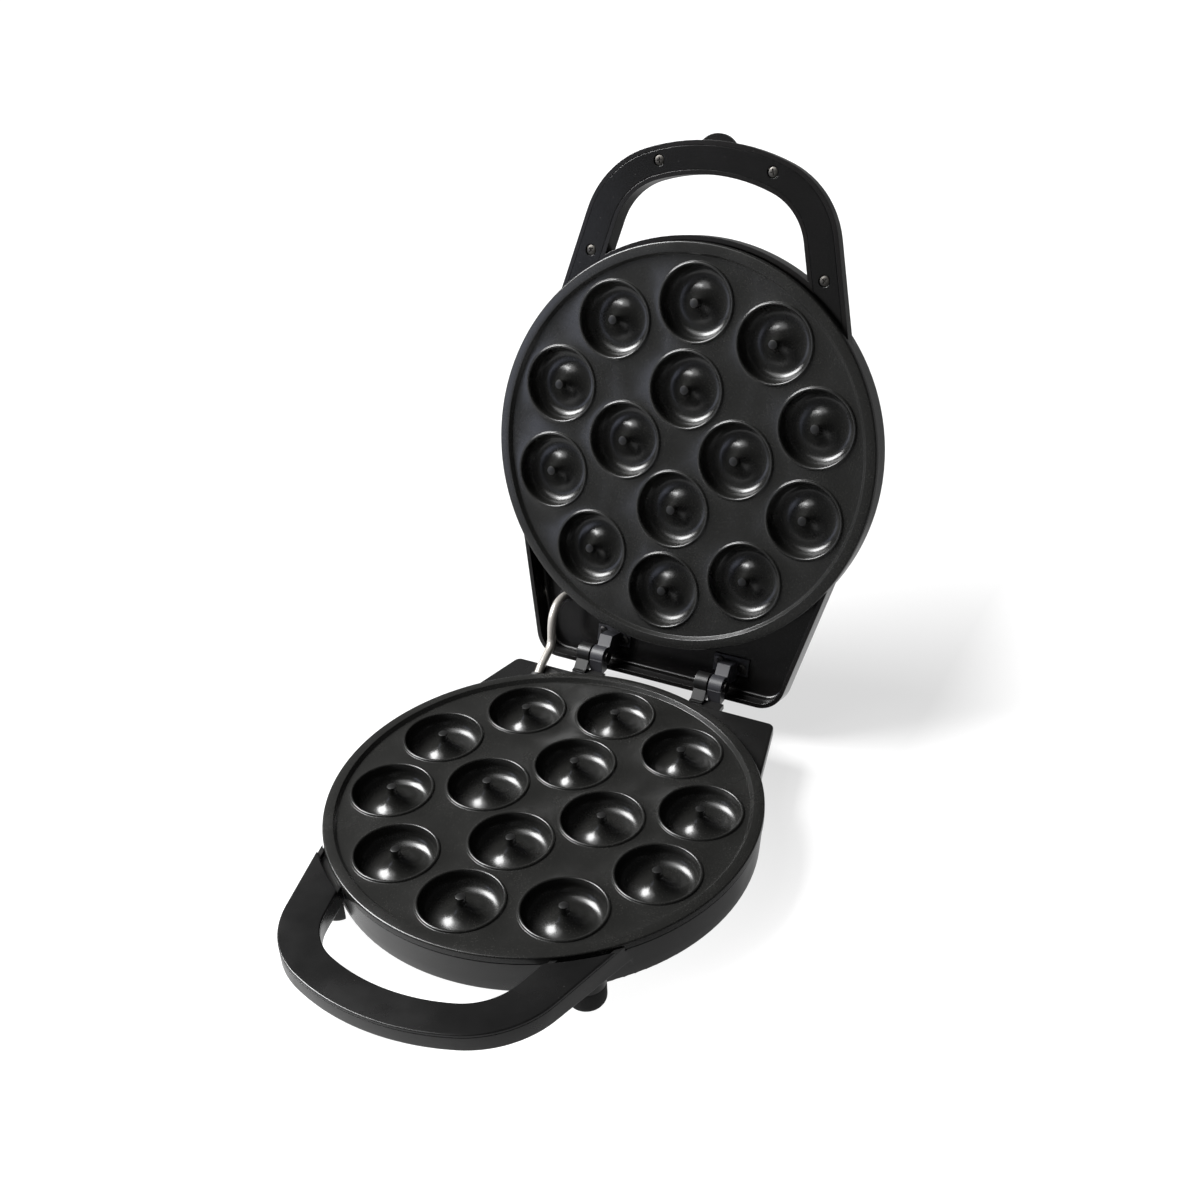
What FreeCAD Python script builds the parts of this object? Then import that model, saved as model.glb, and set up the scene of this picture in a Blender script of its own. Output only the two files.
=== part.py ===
import FreeCAD, Part
import math
import os

from FreeCAD import Vector

# A donut maker standing open. Millimetres, +Z up, +Y from the handle to the hinge.
# Both halves are drawn with the closing plane at z = 0 and the half above it.
# The base half is then turned over about the Y axis, and the lid half swings open on the hinge.
# At the end everything is moved so that the origin is under the middle of the open appliance.

# Cooking plates
PLATE_R = 110.5
RIM_WIDTH = 5.5
RIM_DRAFT = 1.6
RIM_FACE = 0.8
RIM_BACK = 4.7
RIM_PLAY = 0.5
FIELD_FACE = 3.0
FIELD_BACK = 6.0
OUTER_RING_R = 79.0
OUTER_COUNT = 10
INNER_RING_R = 32.9
INNER_COUNT = 4
CAVITY_R = 20.0
CAVITY_CORE_R = 2.5
GROOVE_MIDDLE_R = 14.0
GROOVE_FLOOR = 11.95
GROOVE_OUTER_ROUND = 6.0
GROOVE_CORE_ROUND = 12.5
CUP_WALL = 2.2
CUP_BACK = 13.6
LIP_CREST = 0.9
LIP_WIDTH = 1.8
LIP_RISE = 1.0
PIN_R = 2.2
PIN_TOP = 0.4

# Round housings
WALL = 2.4
HOUSING_R = 110.2
HOUSING_EDGE = 5.5
BASE_FOOT_R = 108.2
BASE_DEPTH = 25.0
LID_SHOULDER_R = 109.3
LID_SHOULDER = 19.0
LID_SHOULDER_ROUND = 10.0
LID_DEPTH = 28.6
PANEL_R = 97.0
PANEL_THICK = 1.2
PANEL_CROWN = 1.4

# Loop handles: an outline in plan is a front reach, front radius, corner radius and side reach
BASE_GRIP = (159.4, 114.4, 49.4, 98.5)
BASE_LOOP = (141.4, 96.0, 30.5, 78.4)
LID_GRIP = (161.6, 116.6, 50.0, 98.9)
LID_LOOP = (144.4, 97.0, 32.5, 80.4)
HANDLE_SLOPE = 14.3
HANDLE_ROOT_Y = -60.0
BASE_HANDLE_FACE = 1.0
BASE_COVER_THICK = 1.4
BASE_COVER_GAP = 0.4
BASE_COVER_ROUND = 0.6
BASE_COVER_ROOT_R = 114.2
BASE_HANDLE_TIP_BACK = 10.7
BASE_HANDLE_LEAN = 0.043
BASE_HANDLE_ROUND = 1.5
LID_HANDLE_FACE = 7.5
LID_COVER_THICK = 2.5
LID_HANDLE_BACK = 19.0
LID_HANDLE_ROUND = 5.5
LID_LOOP_ROOT_R = 113.4
COVER_CLEAR = 0.25
LID_COVER_ROOT_R = 111.3
TAB_R = 12.0
TAB_REACH = 165.4
TAB_FACE = 8.3
TAB_THICK = 3.0

# Rear wings
BASE_WING_REAR = 111.0
BASE_WING_HALF = 79.2
BASE_WING_FACE = 6.3
BASE_WING_SKIRT = 10.8
BASE_WING_CORNER = 4.0
BASE_WING_SLOPE = 0.24
LID_WING_REAR = 133.0
LID_WING_HALF = 73.7
LID_WING_FACE = 5.0
LID_WING_CORNER = 15.0
LID_WING_SLOPE = 0.261
WING_FRONT = 40.0
REAR_BOX_HALF = 66.0
REAR_BOX_END = 106.5

# Hinge
HINGE_Y = 124.0
HINGE_Z = -0.6
OPEN_ANGLE = 107.8
HINGE_X = (-36.5, 36.5)
FINGER_WIDTH = 7.6
FINGER_OFFSET = 4.3
BARREL_R = 5.6
HINGE_PIN_R = 2.0
RUNNING_CLEAR = 0.04
PIN_HEAD_R = 3.4
PIN_HEAD_THICK = 1.2
PIN_LENGTH = 18.0
BASE_FINGER_SIDE = ((112.5, -8.4), (112.5, -6.3), (114.6, -6.3), (118.6, -2.0), (HINGE_Y, HINGE_Z),
                    (HINGE_Y, -6.2), (119.0, -8.4))
LID_FINGER_FACE = ((HINGE_Y, HINGE_Z), (118.6, 2.2), (113.0, 4.6))
LEDGE_LENGTH = 18.4
LEDGE_START = 108.0
LEDGE_END = 117.8
LEDGE_Z = (-10.4, -7.6)
STOP_GAP = 0.35
HEEL_DROP = 8.6
FINGER_FOOT = 1.4
FINGER_FOOT_SIDE = 6.6
FINGER_FOOT_Y = (111.0, 121.0)

# Feet and floor
FLOOR = 31.0
FOOT_R = 9.5
FRONT_FOOT = (68.6, -86.0)
FRONT_FOOT_TOP = 18.5
FRONT_FOOT_ROUND = 4.5
REAR_FOOT = (54.0, 95.0)
REAR_FOOT_ROUND = 1.8

# Inner pieces
BOTTOM_COVER_FACE = 22.8
BOTTOM_COVER_R = 105.2
COVER_SCREW_RING_R = 98.5
COVER_SCREW_ANGLES = (0.0, 50.0, 130.0, 180.0, 270.0)
BOSS_R = 5.0
BOSS_RING_R = 90.0
BOSS_ANGLES = (36.0, 144.0, 216.0, 324.0)
BOSS_ROOT = 5.0
BOSS_END = 16.0
CLAMP_BOSS_R = 4.0
LUG_THICK = 2.4
LUG_HALF = 6.0
VENT_ROWS = 7
VENT_PITCH = 12.0
VENT_X = 32.0
VENT_SIZE = (40.0, 4.0)
ELEMENT_RING_R = 56.0
ELEMENT_R = 3.0
ELEMENT_LEVEL = 16.8
ELEMENT_LEG_X = 9.0
ELEMENT_LEG_END = 92.0
CLAMP_RING_R = 64.5
CLAMP_THICK = 0.8
REFLECTOR_R = 80.0
REFLECTOR_LEVEL = 21.0
REFLECTOR_THICK = 0.5
SCREW_R = 1.4
SCREW_HEAD_R = 2.8
SCREW_HEAD = 1.1
SCREW_SINK = 1.3
PILOT_DEPTH = 8.0
PILOT_CLEAR = 0.05
SHANK_CLEAR = 0.2
HEAD_CLEAR = 0.4
THERMOSTAT_SPOT = (93.0, 108.0)
FUSE_SPOT = (95.0, 72.0)
LENS_X = (-11.0, 11.0)
LENS_Y = -62.0
LENS_R = 4.0
WIRE_R = 1.1

# Sleeve with the wires from the base to the lid: hand-chosen route with the lid open
SLEEVE_R = 2.4
SLEEVE_ROUTE = (
    (-59.9, 96.8, -9.6),
    (-60.5, 102.5, -5.0),
    (-61.2, 111.4, -2.1),
    (-62.2, 121.2, 0.6),
    (-62.8, 123.0, 9.8),
    (-63.5, 126.2, 16.4),
    (-64.1, 132.0, 20.6),
    (-64.8, 140.6, 20.9),
    (-65.0, 147.4, 18.9),
)
BUSH_R = 3.8
LID_BUSH_HEIGHT = 2.6
LID_BUSH_CLEAR = 0.4
GLAND_X = 0.0
GLAND_LEVEL = 18.8
GLAND_BORE_R = 3.6
GLAND_R = 5.2
GLAND_FLANGE_R = 6.1
GLAND_START = 105.5
GLAND_SEAT = 109.9
GLAND_END = 116.0

# Reach of a cut that goes right through
THROUGH = 60.0

X_AXIS = Vector(1, 0, 0)
Y_AXIS = Vector(0, 1, 0)
Z_AXIS = Vector(0, 0, 1)
ORIGIN = Vector(0, 0, 0)


def disc(radius, low, high, x=0.0, y=0.0):
    """Upright cylinder between two levels."""
    return Part.makeCylinder(radius, high - low, Vector(x, y, low))


def rod(radius, start, end):
    """Cylinder from one point to another."""
    along = end - start
    return Part.makeCylinder(radius, along.Length, start, along)


def block(x, y, z):
    """Box from three (low, high) pairs."""
    return Part.makeBox(x[1] - x[0], y[1] - y[0], z[1] - z[0], Vector(x[0], y[0], z[0]))


def closed_wire(start, *steps):
    """Closed wire in the XY plane; a step is a point, or a (via, end) pair for an arc."""
    edges = []
    here = Vector(*start)
    for step in steps:
        if isinstance(step[0], tuple):
            via, end = Vector(*step[0]), Vector(*step[1])
            edges.append(Part.Arc(here, via, end).toShape())
        else:
            end = Vector(*step)
            edges.append(Part.LineSegment(here, end).toShape())
        here = end
    if here.distanceToPoint(Vector(*start)) > 1e-6:
        edges.append(Part.LineSegment(here, Vector(*start)).toShape())
    return Part.Wire(edges)


def prism(outline, low, high):
    """Upright solid of a closed outline between two levels."""
    solid = Part.Face(outline).extrude(Vector(0, 0, high - low))
    solid.translate(Vector(0, 0, low))
    return solid


def turned(start, *steps):
    """Solid of revolution about Z; the outline's points are (radius, level)."""
    face = Part.Face(closed_wire(start, *steps))
    face.rotate(ORIGIN, X_AXIS, 90)
    return face.revolve(ORIGIN, Z_AXIS, 360)


def joined(solids):
    """One solid from overlapping ones."""
    return solids[0].multiFuse(solids[1:]).removeSplitter()


def polar(radius, degrees):
    """Point of a circle about the plate's centre."""
    angle = math.radians(degrees)
    return radius * math.cos(angle), radius * math.sin(angle)


def rounded(solid, radius, wanted):
    """Rounds the edges that a test on their middle point picks."""
    edges = [e for e in solid.Edges if wanted(e.valueAt((e.FirstParameter + e.LastParameter) / 2))]
    return solid.makeFillet(radius, edges)


def at_level(level):
    """Test for the edges that lie at one level."""
    return lambda p: abs(p.z - level) < 1e-4


def base_half(shape):
    """Turns a half over, so that it hangs below the closing plane."""
    return shape.rotated(ORIGIN, Y_AXIS, 180)


def swung_open(shape):
    """Swings a closed lid piece about the hinge to the open pose."""
    return shape.rotated(Vector(0, HINGE_Y, HINGE_Z), X_AXIS, -OPEN_ANGLE)


def compound(solids):
    """Separate solids that share a node."""
    return Part.makeCompound(solids)


def pilot_hole(end, x, y):
    """Blind hole for a screw's thread, open at one level."""
    return disc(SCREW_R + PILOT_CLEAR, end - PILOT_DEPTH, end + 1, x, y)


def shank_hole(x, y):
    """Through hole with play for a screw's shank."""
    return disc(SCREW_R + SHANK_CLEAR, 0, THROUGH, x, y)


# Cooking plate, face down and back up

def cavity_centres():
    """Centres of all ring cavities of a plate."""
    outer = [polar(OUTER_RING_R, 360.0 / OUTER_COUNT * (k + 0.5)) for k in range(OUTER_COUNT)]
    inner = [polar(INNER_RING_R, 360.0 / INNER_COUNT * k) for k in range(INNER_COUNT)]
    return outer + inner


def plate_body():
    """Disc with a raised rim and a recessed field."""
    inner = PLATE_R - RIM_WIDTH
    edge = 0.9
    cut = edge * (1 - math.sqrt(0.5))
    return turned(
        (0, FIELD_FACE), (inner - RIM_DRAFT, FIELD_FACE), (inner, RIM_FACE), (PLATE_R - edge, RIM_FACE),
        ((PLATE_R - cut, RIM_FACE + cut), (PLATE_R, RIM_FACE + edge)), (PLATE_R, RIM_BACK),
        (inner + 2, RIM_BACK), (inner + 1, FIELD_BACK), (0, FIELD_BACK))


def cavity_hollow():
    """Ring groove round a core: a wide round up the core, a tight one up the outer wall."""
    core_level = GROOVE_FLOOR - GROOVE_CORE_ROUND
    core_turn = math.acos((GROOVE_MIDDLE_R - CAVITY_CORE_R) / GROOVE_CORE_ROUND)
    turns = (core_turn, (core_turn + math.pi / 2) / 2, math.pi / 2)
    core = [(GROOVE_MIDDLE_R - GROOVE_CORE_ROUND * math.cos(a), core_level + GROOVE_CORE_ROUND * math.sin(a))
            for a in turns]
    wall_level = GROOVE_FLOOR - GROOVE_OUTER_ROUND
    bend = GROOVE_OUTER_ROUND * math.sqrt(0.5)
    wall = ((GROOVE_MIDDLE_R + bend, wall_level + bend), (GROOVE_MIDDLE_R + GROOVE_OUTER_ROUND, wall_level))
    return turned((CAVITY_CORE_R, -1), core[0], (core[1], core[2]), wall, (CAVITY_R, -1))


def cooking_plate():
    """Cast plate with cups behind its ring cavities, centre pins and screw bosses."""
    cup_r = CAVITY_R + CUP_WALL
    cup_root = (FIELD_FACE + FIELD_BACK) / 2
    cup_round = 4.0
    lip_root = FIELD_FACE + 0.6
    crest = FIELD_FACE - LIP_RISE
    pin_edge = 0.3
    corner = cup_round * (1 - math.sqrt(0.5))
    cup = turned(
        (0, cup_root), (cup_r, cup_root), (cup_r, CUP_BACK - cup_round),
        ((cup_r - corner, CUP_BACK - corner), (cup_r - cup_round, CUP_BACK)), (0, CUP_BACK))
    lip = turned(
        (CAVITY_R - 1, lip_root), (CAVITY_R - 1, crest), (CAVITY_R + LIP_CREST, crest),
        (CAVITY_R + LIP_WIDTH, FIELD_FACE), (CAVITY_R + LIP_WIDTH, lip_root))
    hollow = cavity_hollow()
    pin = turned((0, PIN_TOP), (PIN_R - pin_edge, PIN_TOP), (PIN_R, PIN_TOP + pin_edge),
                 (PIN_R, FIELD_BACK), (0, FIELD_BACK))
    spots = [Vector(x, y, 0) for x, y in cavity_centres()]
    solids = [plate_body()]
    solids += [part.translated(spot) for spot in spots for part in (cup, lip)]
    posts = [(BOSS_R, BOSS_END, polar(BOSS_RING_R, angle)) for angle in BOSS_ANGLES]
    posts += [(CLAMP_BOSS_R, clamp_level(), polar(CLAMP_RING_R, angle)) for angle in BOSS_ANGLES]
    posts.append((BOSS_R, REFLECTOR_LEVEL, (0.0, 0.0)))
    solids += [disc(radius, BOSS_ROOT, end, *spot) for radius, end, spot in posts]
    plate = joined(solids).cut(compound([hollow.translated(spot) for spot in spots]))
    plate = plate.multiFuse([pin.translated(spot) for spot in spots])
    holes = [pilot_hole(end, *spot) for radius, end, spot in posts]
    return plate.cut(compound(holes)).Solids[0]


# Heating parts behind a plate

def clamp_level():
    """Level of the element's back, where its clamps lie."""
    return ELEMENT_LEVEL + ELEMENT_R + 0.05


def heating_element():
    """Tubular element: an open ring under the cups with two straight ends to the rear."""
    stud_r, stud_length = 1.2, 7.0
    gap = math.degrees(math.asin(ELEMENT_LEG_X / ELEMENT_RING_R))
    ring = Part.makeTorus(ELEMENT_RING_R, ELEMENT_R, ORIGIN, Z_AXIS, 0, 360, 360 - 2 * gap)
    ring.rotate(ORIGIN, Z_AXIS, 90 + gap)
    solids = [ring]
    for side in (-1, 1):
        corner = Vector(side * ELEMENT_LEG_X, math.sqrt(ELEMENT_RING_R ** 2 - ELEMENT_LEG_X ** 2), 0)
        end = Vector(corner.x, ELEMENT_LEG_END, 0)
        solids.append(Part.makeSphere(ELEMENT_R, corner))
        solids.append(rod(ELEMENT_R, corner, end))
        solids.append(rod(stud_r, end, end + Vector(0, stud_length, 0)))
    element = joined(solids)
    element.translate(Vector(0, 0, ELEMENT_LEVEL))
    return element


def element_clamps():
    """Flat straps that hold the element to the plate's bosses."""
    straps = []
    for angle in BOSS_ANGLES:
        strap = block((ELEMENT_RING_R - 6, CLAMP_RING_R + 5), (-4, 4),
                      (clamp_level(), clamp_level() + CLAMP_THICK))
        strap = strap.cut(shank_hole(CLAMP_RING_R, 0))
        strap.rotate(ORIGIN, Z_AXIS, angle)
        straps.append(strap)
    return compound(straps)


def clamp_screws():
    """Screws of the clamps, heads below the straps."""
    head = clamp_level() + CLAMP_THICK
    return compound([upright_screw(*polar(CLAMP_RING_R, a), head, -1, 6.0, 0.9) for a in BOSS_ANGLES])


def reflector():
    """Thin pan that throws the heat back to the plate."""
    inner = REFLECTOR_R - REFLECTOR_THICK
    brim = REFLECTOR_LEVEL - 3.0
    back = REFLECTOR_LEVEL + REFLECTOR_THICK
    pan = turned((0, REFLECTOR_LEVEL), (inner, REFLECTOR_LEVEL), (inner, brim), (REFLECTOR_R, brim),
                 (REFLECTOR_R, back), (0, back))
    reach = ELEMENT_LEG_X + ELEMENT_R + 1.0
    window = block((-reach, reach), (REFLECTOR_R - 2, REFLECTOR_R + 2), (brim - 1, REFLECTOR_LEVEL - 0.1))
    holes = [window, shank_hole(0, 0)]
    holes += [disc(CLAMP_BOSS_R + 0.2, 0, THROUGH, *polar(CLAMP_RING_R, a)) for a in BOSS_ANGLES]
    return pan.cut(compound(holes))


def upright_screw(x, y, head_level, way, length, head=SCREW_HEAD):
    """Cross-head screw; way is the sign of Z along which its shank points from the head's seat."""
    arm, width, depth = (-1.5, 1.5), (-0.35, 0.35), (head - 0.5, head + 1)
    screw = joined([disc(SCREW_HEAD_R, 0, head), disc(SCREW_R, -length, head / 2)])
    screw = screw.cut(joined([block(arm, width, depth), block(width, arm, depth)]))
    if way > 0:
        screw.rotate(ORIGIN, X_AXIS, 180)
    screw.translate(Vector(x, y, head_level))
    return screw


def plate_screws(seat):
    """Screws from the housing into the plate's bosses."""
    return compound([upright_screw(*polar(BOSS_RING_R, a), seat, -1, 9.0) for a in BOSS_ANGLES])


def reflector_screw():
    """Screw in the middle of the reflector."""
    return upright_screw(0, 0, REFLECTOR_LEVEL + REFLECTOR_THICK, -1, 7.0)


# Handles

def handle_outline(form, inset=0.0):
    """Outline in plan, drawn in by inset: straight sides, round corners and a bowed front."""
    reach, front_r, corner_r, side_reach = form
    slope = math.radians(HANDLE_SLOPE)
    bow_y = front_r - reach
    gap = front_r - corner_r
    turn = math.asin((side_reach - corner_r + bow_y * math.sin(slope)) / gap) - slope
    centre = (gap * math.sin(turn), bow_y - gap * math.cos(turn))
    corner = corner_r - inset
    front = front_r - inset

    def on_corner(angle):
        return centre[0] + corner * math.sin(angle), centre[1] - corner * math.cos(angle)

    side_angle = math.pi / 2 - slope
    side = on_corner(side_angle)
    middle = on_corner((side_angle + turn) / 2)
    bow = (front * math.sin(turn), bow_y - front * math.cos(turn))
    root_x = (side_reach - inset + HANDLE_ROOT_Y * math.sin(slope)) / math.cos(slope)

    def mirrored(point):
        return -point[0], point[1]

    return closed_wire(
        (root_x, HANDLE_ROOT_Y), side, (middle, bow), ((0.0, bow_y - front), mirrored(bow)),
        (mirrored(middle), mirrored(side)), (-root_x, HANDLE_ROOT_Y))


def handle_ring(grip, loop, root_r, frame, low, high):
    """Ring between the grip's outline and the finger loop, both moved into the ring by frame."""
    hole = prism(handle_outline(loop, -frame), low - 1, high + 1)
    hole = hole.cut(disc(root_r - frame, low - 2, high + 2))
    return prism(handle_outline(grip, frame), low, high).cut(hole)


def base_ring(frame, low, high):
    """Ring of the base handle."""
    return handle_ring(BASE_GRIP, BASE_LOOP, HOUSING_R - 3, frame, low, high)


def lid_ring(frame, low, high):
    """Ring of the lid handle."""
    return handle_ring(LID_GRIP, LID_LOOP, LID_LOOP_ROOT_R, frame, low, high)


def base_handle_back(y):
    """Level of the base handle's underside, which rises towards its front."""
    return BASE_HANDLE_TIP_BACK + BASE_HANDLE_LEAN * (y + BASE_GRIP[0])


def below_handle(raised):
    """Everything beyond the base handle's sloping underside, moved up by raised."""
    front, rear, half = -BASE_GRIP[0] - 20, 0.0, 120.0
    side = closed_wire((front, base_handle_back(front) - raised), (rear, base_handle_back(rear) - raised),
                       (rear, THROUGH), (front, THROUGH))
    wedge = Part.Face(side).extrude(Vector(0, 0, 2 * half))
    wedge.translate(Vector(0, 0, -half))
    wedge.rotate(ORIGIN, Vector(1, 1, 1), 120)
    return wedge


def base_handle_shell(top):
    """Hollow base handle, open towards the closing plane."""
    ring = base_ring(0, top, FLOOR).cut(below_handle(0))

    def on_underside(point):
        return abs(point.z - base_handle_back(point.y)) < 1e-3

    ring = rounded(ring, BASE_HANDLE_ROUND, on_underside)
    return ring.cut(base_ring(WALL, top - 1, FLOOR).cut(below_handle(WALL)))


def handle_root_step():
    """Low step of the base handle between the round wall and the foot of its cover."""
    step = base_ring(0, HOUSING_EDGE, HOUSING_EDGE + WALL)
    return step.common(disc(BASE_COVER_ROOT_R + WALL, 0, THROUGH))


def lid_handle_shell():
    """Hollow lid handle, open towards the closing plane, with a well-rounded back."""
    ring = lid_ring(0, LID_HANDLE_FACE, LID_HANDLE_BACK)

    def outer_back_edge(point):
        return at_level(LID_HANDLE_BACK)(point) and not in_loop(point)

    ring = rounded(ring, LID_HANDLE_ROUND, outer_back_edge)
    ring = rounded(ring, 1.0, lambda p: at_level(LID_HANDLE_BACK)(p) and in_loop(p))
    return ring.cut(lid_ring(WALL, LID_HANDLE_FACE - 1, LID_HANDLE_BACK - WALL))


def in_loop(point):
    """Whether a point of the lid handle is on the finger loop's edge."""
    area = prism(handle_outline(LID_LOOP, -2.0), 0, THROUGH)
    return area.isInside(point, 0.01, True)


def handle_screw_spots(near_front, near_root):
    """Four places on a handle, two by its front and two by its roots."""
    spots = [near_front, near_root]
    return spots + [(-x, y) for x, y in spots]


LID_SCREWS = handle_screw_spots((32.0, -149.0), (67.0, -98.6))
BASE_SCREWS = handle_screw_spots((30.0, -147.5), (65.5, -110.0))


# Rear wings

def wing_outline(rear, half, slope, inset):
    """Trapezium that widens towards the front, drawn in by inset."""
    lean = math.hypot(1, slope)
    rear_y = rear - inset
    rear_half = half + slope * inset - inset * lean
    front_half = rear_half + slope * (rear_y - WING_FRONT)
    return closed_wire((rear_half, rear_y), (front_half, WING_FRONT), (-front_half, WING_FRONT),
                       (-rear_half, rear_y))


def wing_block(rear, half, slope, corner, inset, low, high):
    """Solid wing with round rear corners."""
    solid = prism(wing_outline(rear, half, slope, inset), low, high)

    def rear_corner(point):
        return abs(point.z - (low + high) / 2) < 1e-4 and point.y > rear - inset - 1

    return rounded(solid, max(corner - inset, 0.6), rear_corner)


def base_wing(inset, low, high):
    """Base wing between two levels."""
    return wing_block(BASE_WING_REAR, BASE_WING_HALF, BASE_WING_SLOPE, BASE_WING_CORNER, inset, low, high)


def lid_wing(inset, low, high):
    """Lid wing between two levels."""
    return wing_block(LID_WING_REAR, LID_WING_HALF, LID_WING_SLOPE, LID_WING_CORNER, inset, low, high)


# Base

def base_wall():
    """Round tapered wall with a ledge for the bottom cover."""
    edge = 1.5
    slope = (HOUSING_R - BASE_FOOT_R) / (BASE_DEPTH - HOUSING_EDGE)
    low_r = BASE_FOOT_R + slope * edge
    cut = edge * (1 - math.sqrt(0.5))
    return turned(
        (HOUSING_R, HOUSING_EDGE), (low_r, BASE_DEPTH - edge),
        ((BASE_FOOT_R - cut, BASE_DEPTH - cut), (BASE_FOOT_R - edge, BASE_DEPTH)),
        (BOTTOM_COVER_R + 0.3, BASE_DEPTH), (BOTTOM_COVER_R + 0.3, BOTTOM_COVER_FACE),
        (BOTTOM_COVER_R - 3, BOTTOM_COVER_FACE), (BOTTOM_COVER_R - 3, BOTTOM_COVER_FACE - 2),
        (BOTTOM_COVER_R + 1, BOTTOM_COVER_FACE - 3), (HOUSING_R - WALL, HOUSING_EDGE))


def housing_lugs():
    """Inner lugs on which the lower plate's bosses stand."""
    lugs = []
    for angle in BOSS_ANGLES:
        lug = block((BOSS_RING_R - LUG_HALF, HOUSING_R - 3), (-LUG_HALF, LUG_HALF),
                    (BOSS_END, BOSS_END + LUG_THICK))
        lug = lug.cut(shank_hole(BOSS_RING_R, 0))
        lug.rotate(ORIGIN, Z_AXIS, angle)
        lugs.append(lug)
    return lugs


def rear_box(inset, low, high):
    """Box below the wing, for the sleeve's end and the cord gland."""
    reach = REAR_BOX_HALF - inset
    return block((-reach, reach), (WING_FRONT + 20, REAR_BOX_END - inset), (low, high))


def foot_spots():
    """Centres of the four feet."""
    return {
        "foot_front_left": (-FRONT_FOOT[0], FRONT_FOOT[1]),
        "foot_front_right": FRONT_FOOT,
        "foot_rear_left": (-REAR_FOOT[0], REAR_FOOT[1]),
        "foot_rear_right": REAR_FOOT,
    }


def finger(x, side):
    """Hinge finger: a side view of (y, z) points as thick as the finger, with a barrel round the axis."""
    low = x - FINGER_WIDTH / 2
    barrel = Part.makeCylinder(BARREL_R, FINGER_WIDTH, Vector(low, HINGE_Y, HINGE_Z), X_AXIS)
    corners = [Vector(low, y, z) for y, z in side]
    web = Part.Face(Part.makePolygon(corners + corners[:1])).extrude(Vector(FINGER_WIDTH, 0, 0))
    return joined([web, barrel])


def pin_bore():
    """Through hole of both hinges along the axis."""
    start = Vector(-THROUGH, HINGE_Y, HINGE_Z)
    return Part.makeCylinder(HINGE_PIN_R + RUNNING_CLEAR, 2 * THROUGH, start, X_AXIS)


def base_fingers():
    """Base hinge fingers with the ledge that stops the open lid."""
    solids = []
    for x in HINGE_X:
        finger_x = x - FINGER_OFFSET
        solids.append(finger(finger_x, BASE_FINGER_SIDE))
        ledge_x = finger_x - FINGER_WIDTH / 2
        solids.append(block((ledge_x, ledge_x + LEDGE_LENGTH), (LEDGE_START, LEDGE_END), LEDGE_Z))
    return solids


def base_housing():
    """Main moulding of the base: wall, handle, wing, rear box and hinge fingers."""
    top = BASE_HANDLE_FACE + BASE_COVER_THICK + BASE_COVER_GAP
    wing = rounded(base_wing(0, BASE_WING_FACE, BASE_WING_SKIRT), 1.2, at_level(BASE_WING_FACE))
    wing = wing.cut(base_wing(WALL, BASE_WING_FACE + WALL, BASE_WING_SKIRT + 1))
    shell = [base_handle_shell(top), handle_root_step(), wing, rear_box(0, BASE_WING_FACE + 1, BASE_DEPTH)]
    legs = [(x, y) for x, y in foot_spots().values() if y < 0]
    shell += [disc(FOOT_R, base_handle_back(y) - WALL, FRONT_FOOT_TOP, x, y) for x, y in legs]
    body = joined(shell)
    body = body.cut(rear_box(WALL, BASE_WING_FACE + WALL, BASE_DEPTH + 1))
    half_wall = WALL / 2
    body = body.cut(Part.makeCone(HOUSING_R - half_wall, BASE_FOOT_R - half_wall, BASE_DEPTH + 2))
    body = body.cut(disc(PLATE_R + RIM_PLAY, 0, HOUSING_EDGE))
    window = block((-30, 30), (BOSS_RING_R, REAR_BOX_END - WALL), (GLAND_LEVEL - 4, BASE_DEPTH + 1))
    wall = base_wall().cut(window)
    wall = wall.cut(rear_box(WALL, BOTTOM_COVER_FACE - 3, THROUGH))
    body = base_half(joined([body, wall] + housing_lugs() + cover_bosses()))
    holes = [pin_bore()]
    for x, y in BASE_SCREWS:
        holes.append(disc(SCREW_R + SHANK_CLEAR, -FLOOR, -top, x, y))
        holes.append(disc(SCREW_HEAD_R + HEAD_CLEAR, -FLOOR, -base_screw_seat(y), x, y))
    holes.append(sleeve_end(0, BUSH_R + 0.02))
    holes.append(tube(SLEEVE_ROUTE[:4], SLEEVE_R + 0.3))
    holes.append(rod(GLAND_R + 0.05, *gland_run(GLAND_START - WALL, GLAND_END)))
    body = joined([body, gland_boss()] + base_fingers())
    for hole in holes:
        body = body.cut(hole)
    return body.Solids[0]


def cover_bosses():
    """Inner bosses for the bottom cover's screws, each on a rib of the wall."""
    bosses = []
    top, end = CUP_BACK + 0.5, BOTTOM_COVER_FACE
    for angle in COVER_SCREW_ANGLES:
        boss = joined([disc(4.0, top, end, COVER_SCREW_RING_R),
                       block((COVER_SCREW_RING_R, HOUSING_R - 3), (-2.5, 2.5), (top, end))])
        boss = boss.cut(pilot_hole(end, COVER_SCREW_RING_R, 0))
        boss.rotate(ORIGIN, Z_AXIS, angle)
        bosses.append(boss)
    return bosses


def gland_run(start, end):
    """Two points on the cord gland's axis."""
    return Vector(GLAND_X, start, -GLAND_LEVEL), Vector(GLAND_X, end, -GLAND_LEVEL)


def gland_boss():
    """Flat boss of the rear wall round the cord gland."""
    half = GLAND_FLANGE_R + 0.6
    across = (GLAND_X - half, GLAND_X + half)
    return block(across, (REAR_BOX_END - 0.5, GLAND_SEAT), (-BASE_DEPTH, half - GLAND_LEVEL))


def base_screw_seat(y):
    """Level of the seat of a base handle screw, sunk into the sloping underside."""
    return base_handle_back(y) - 1.0


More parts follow.
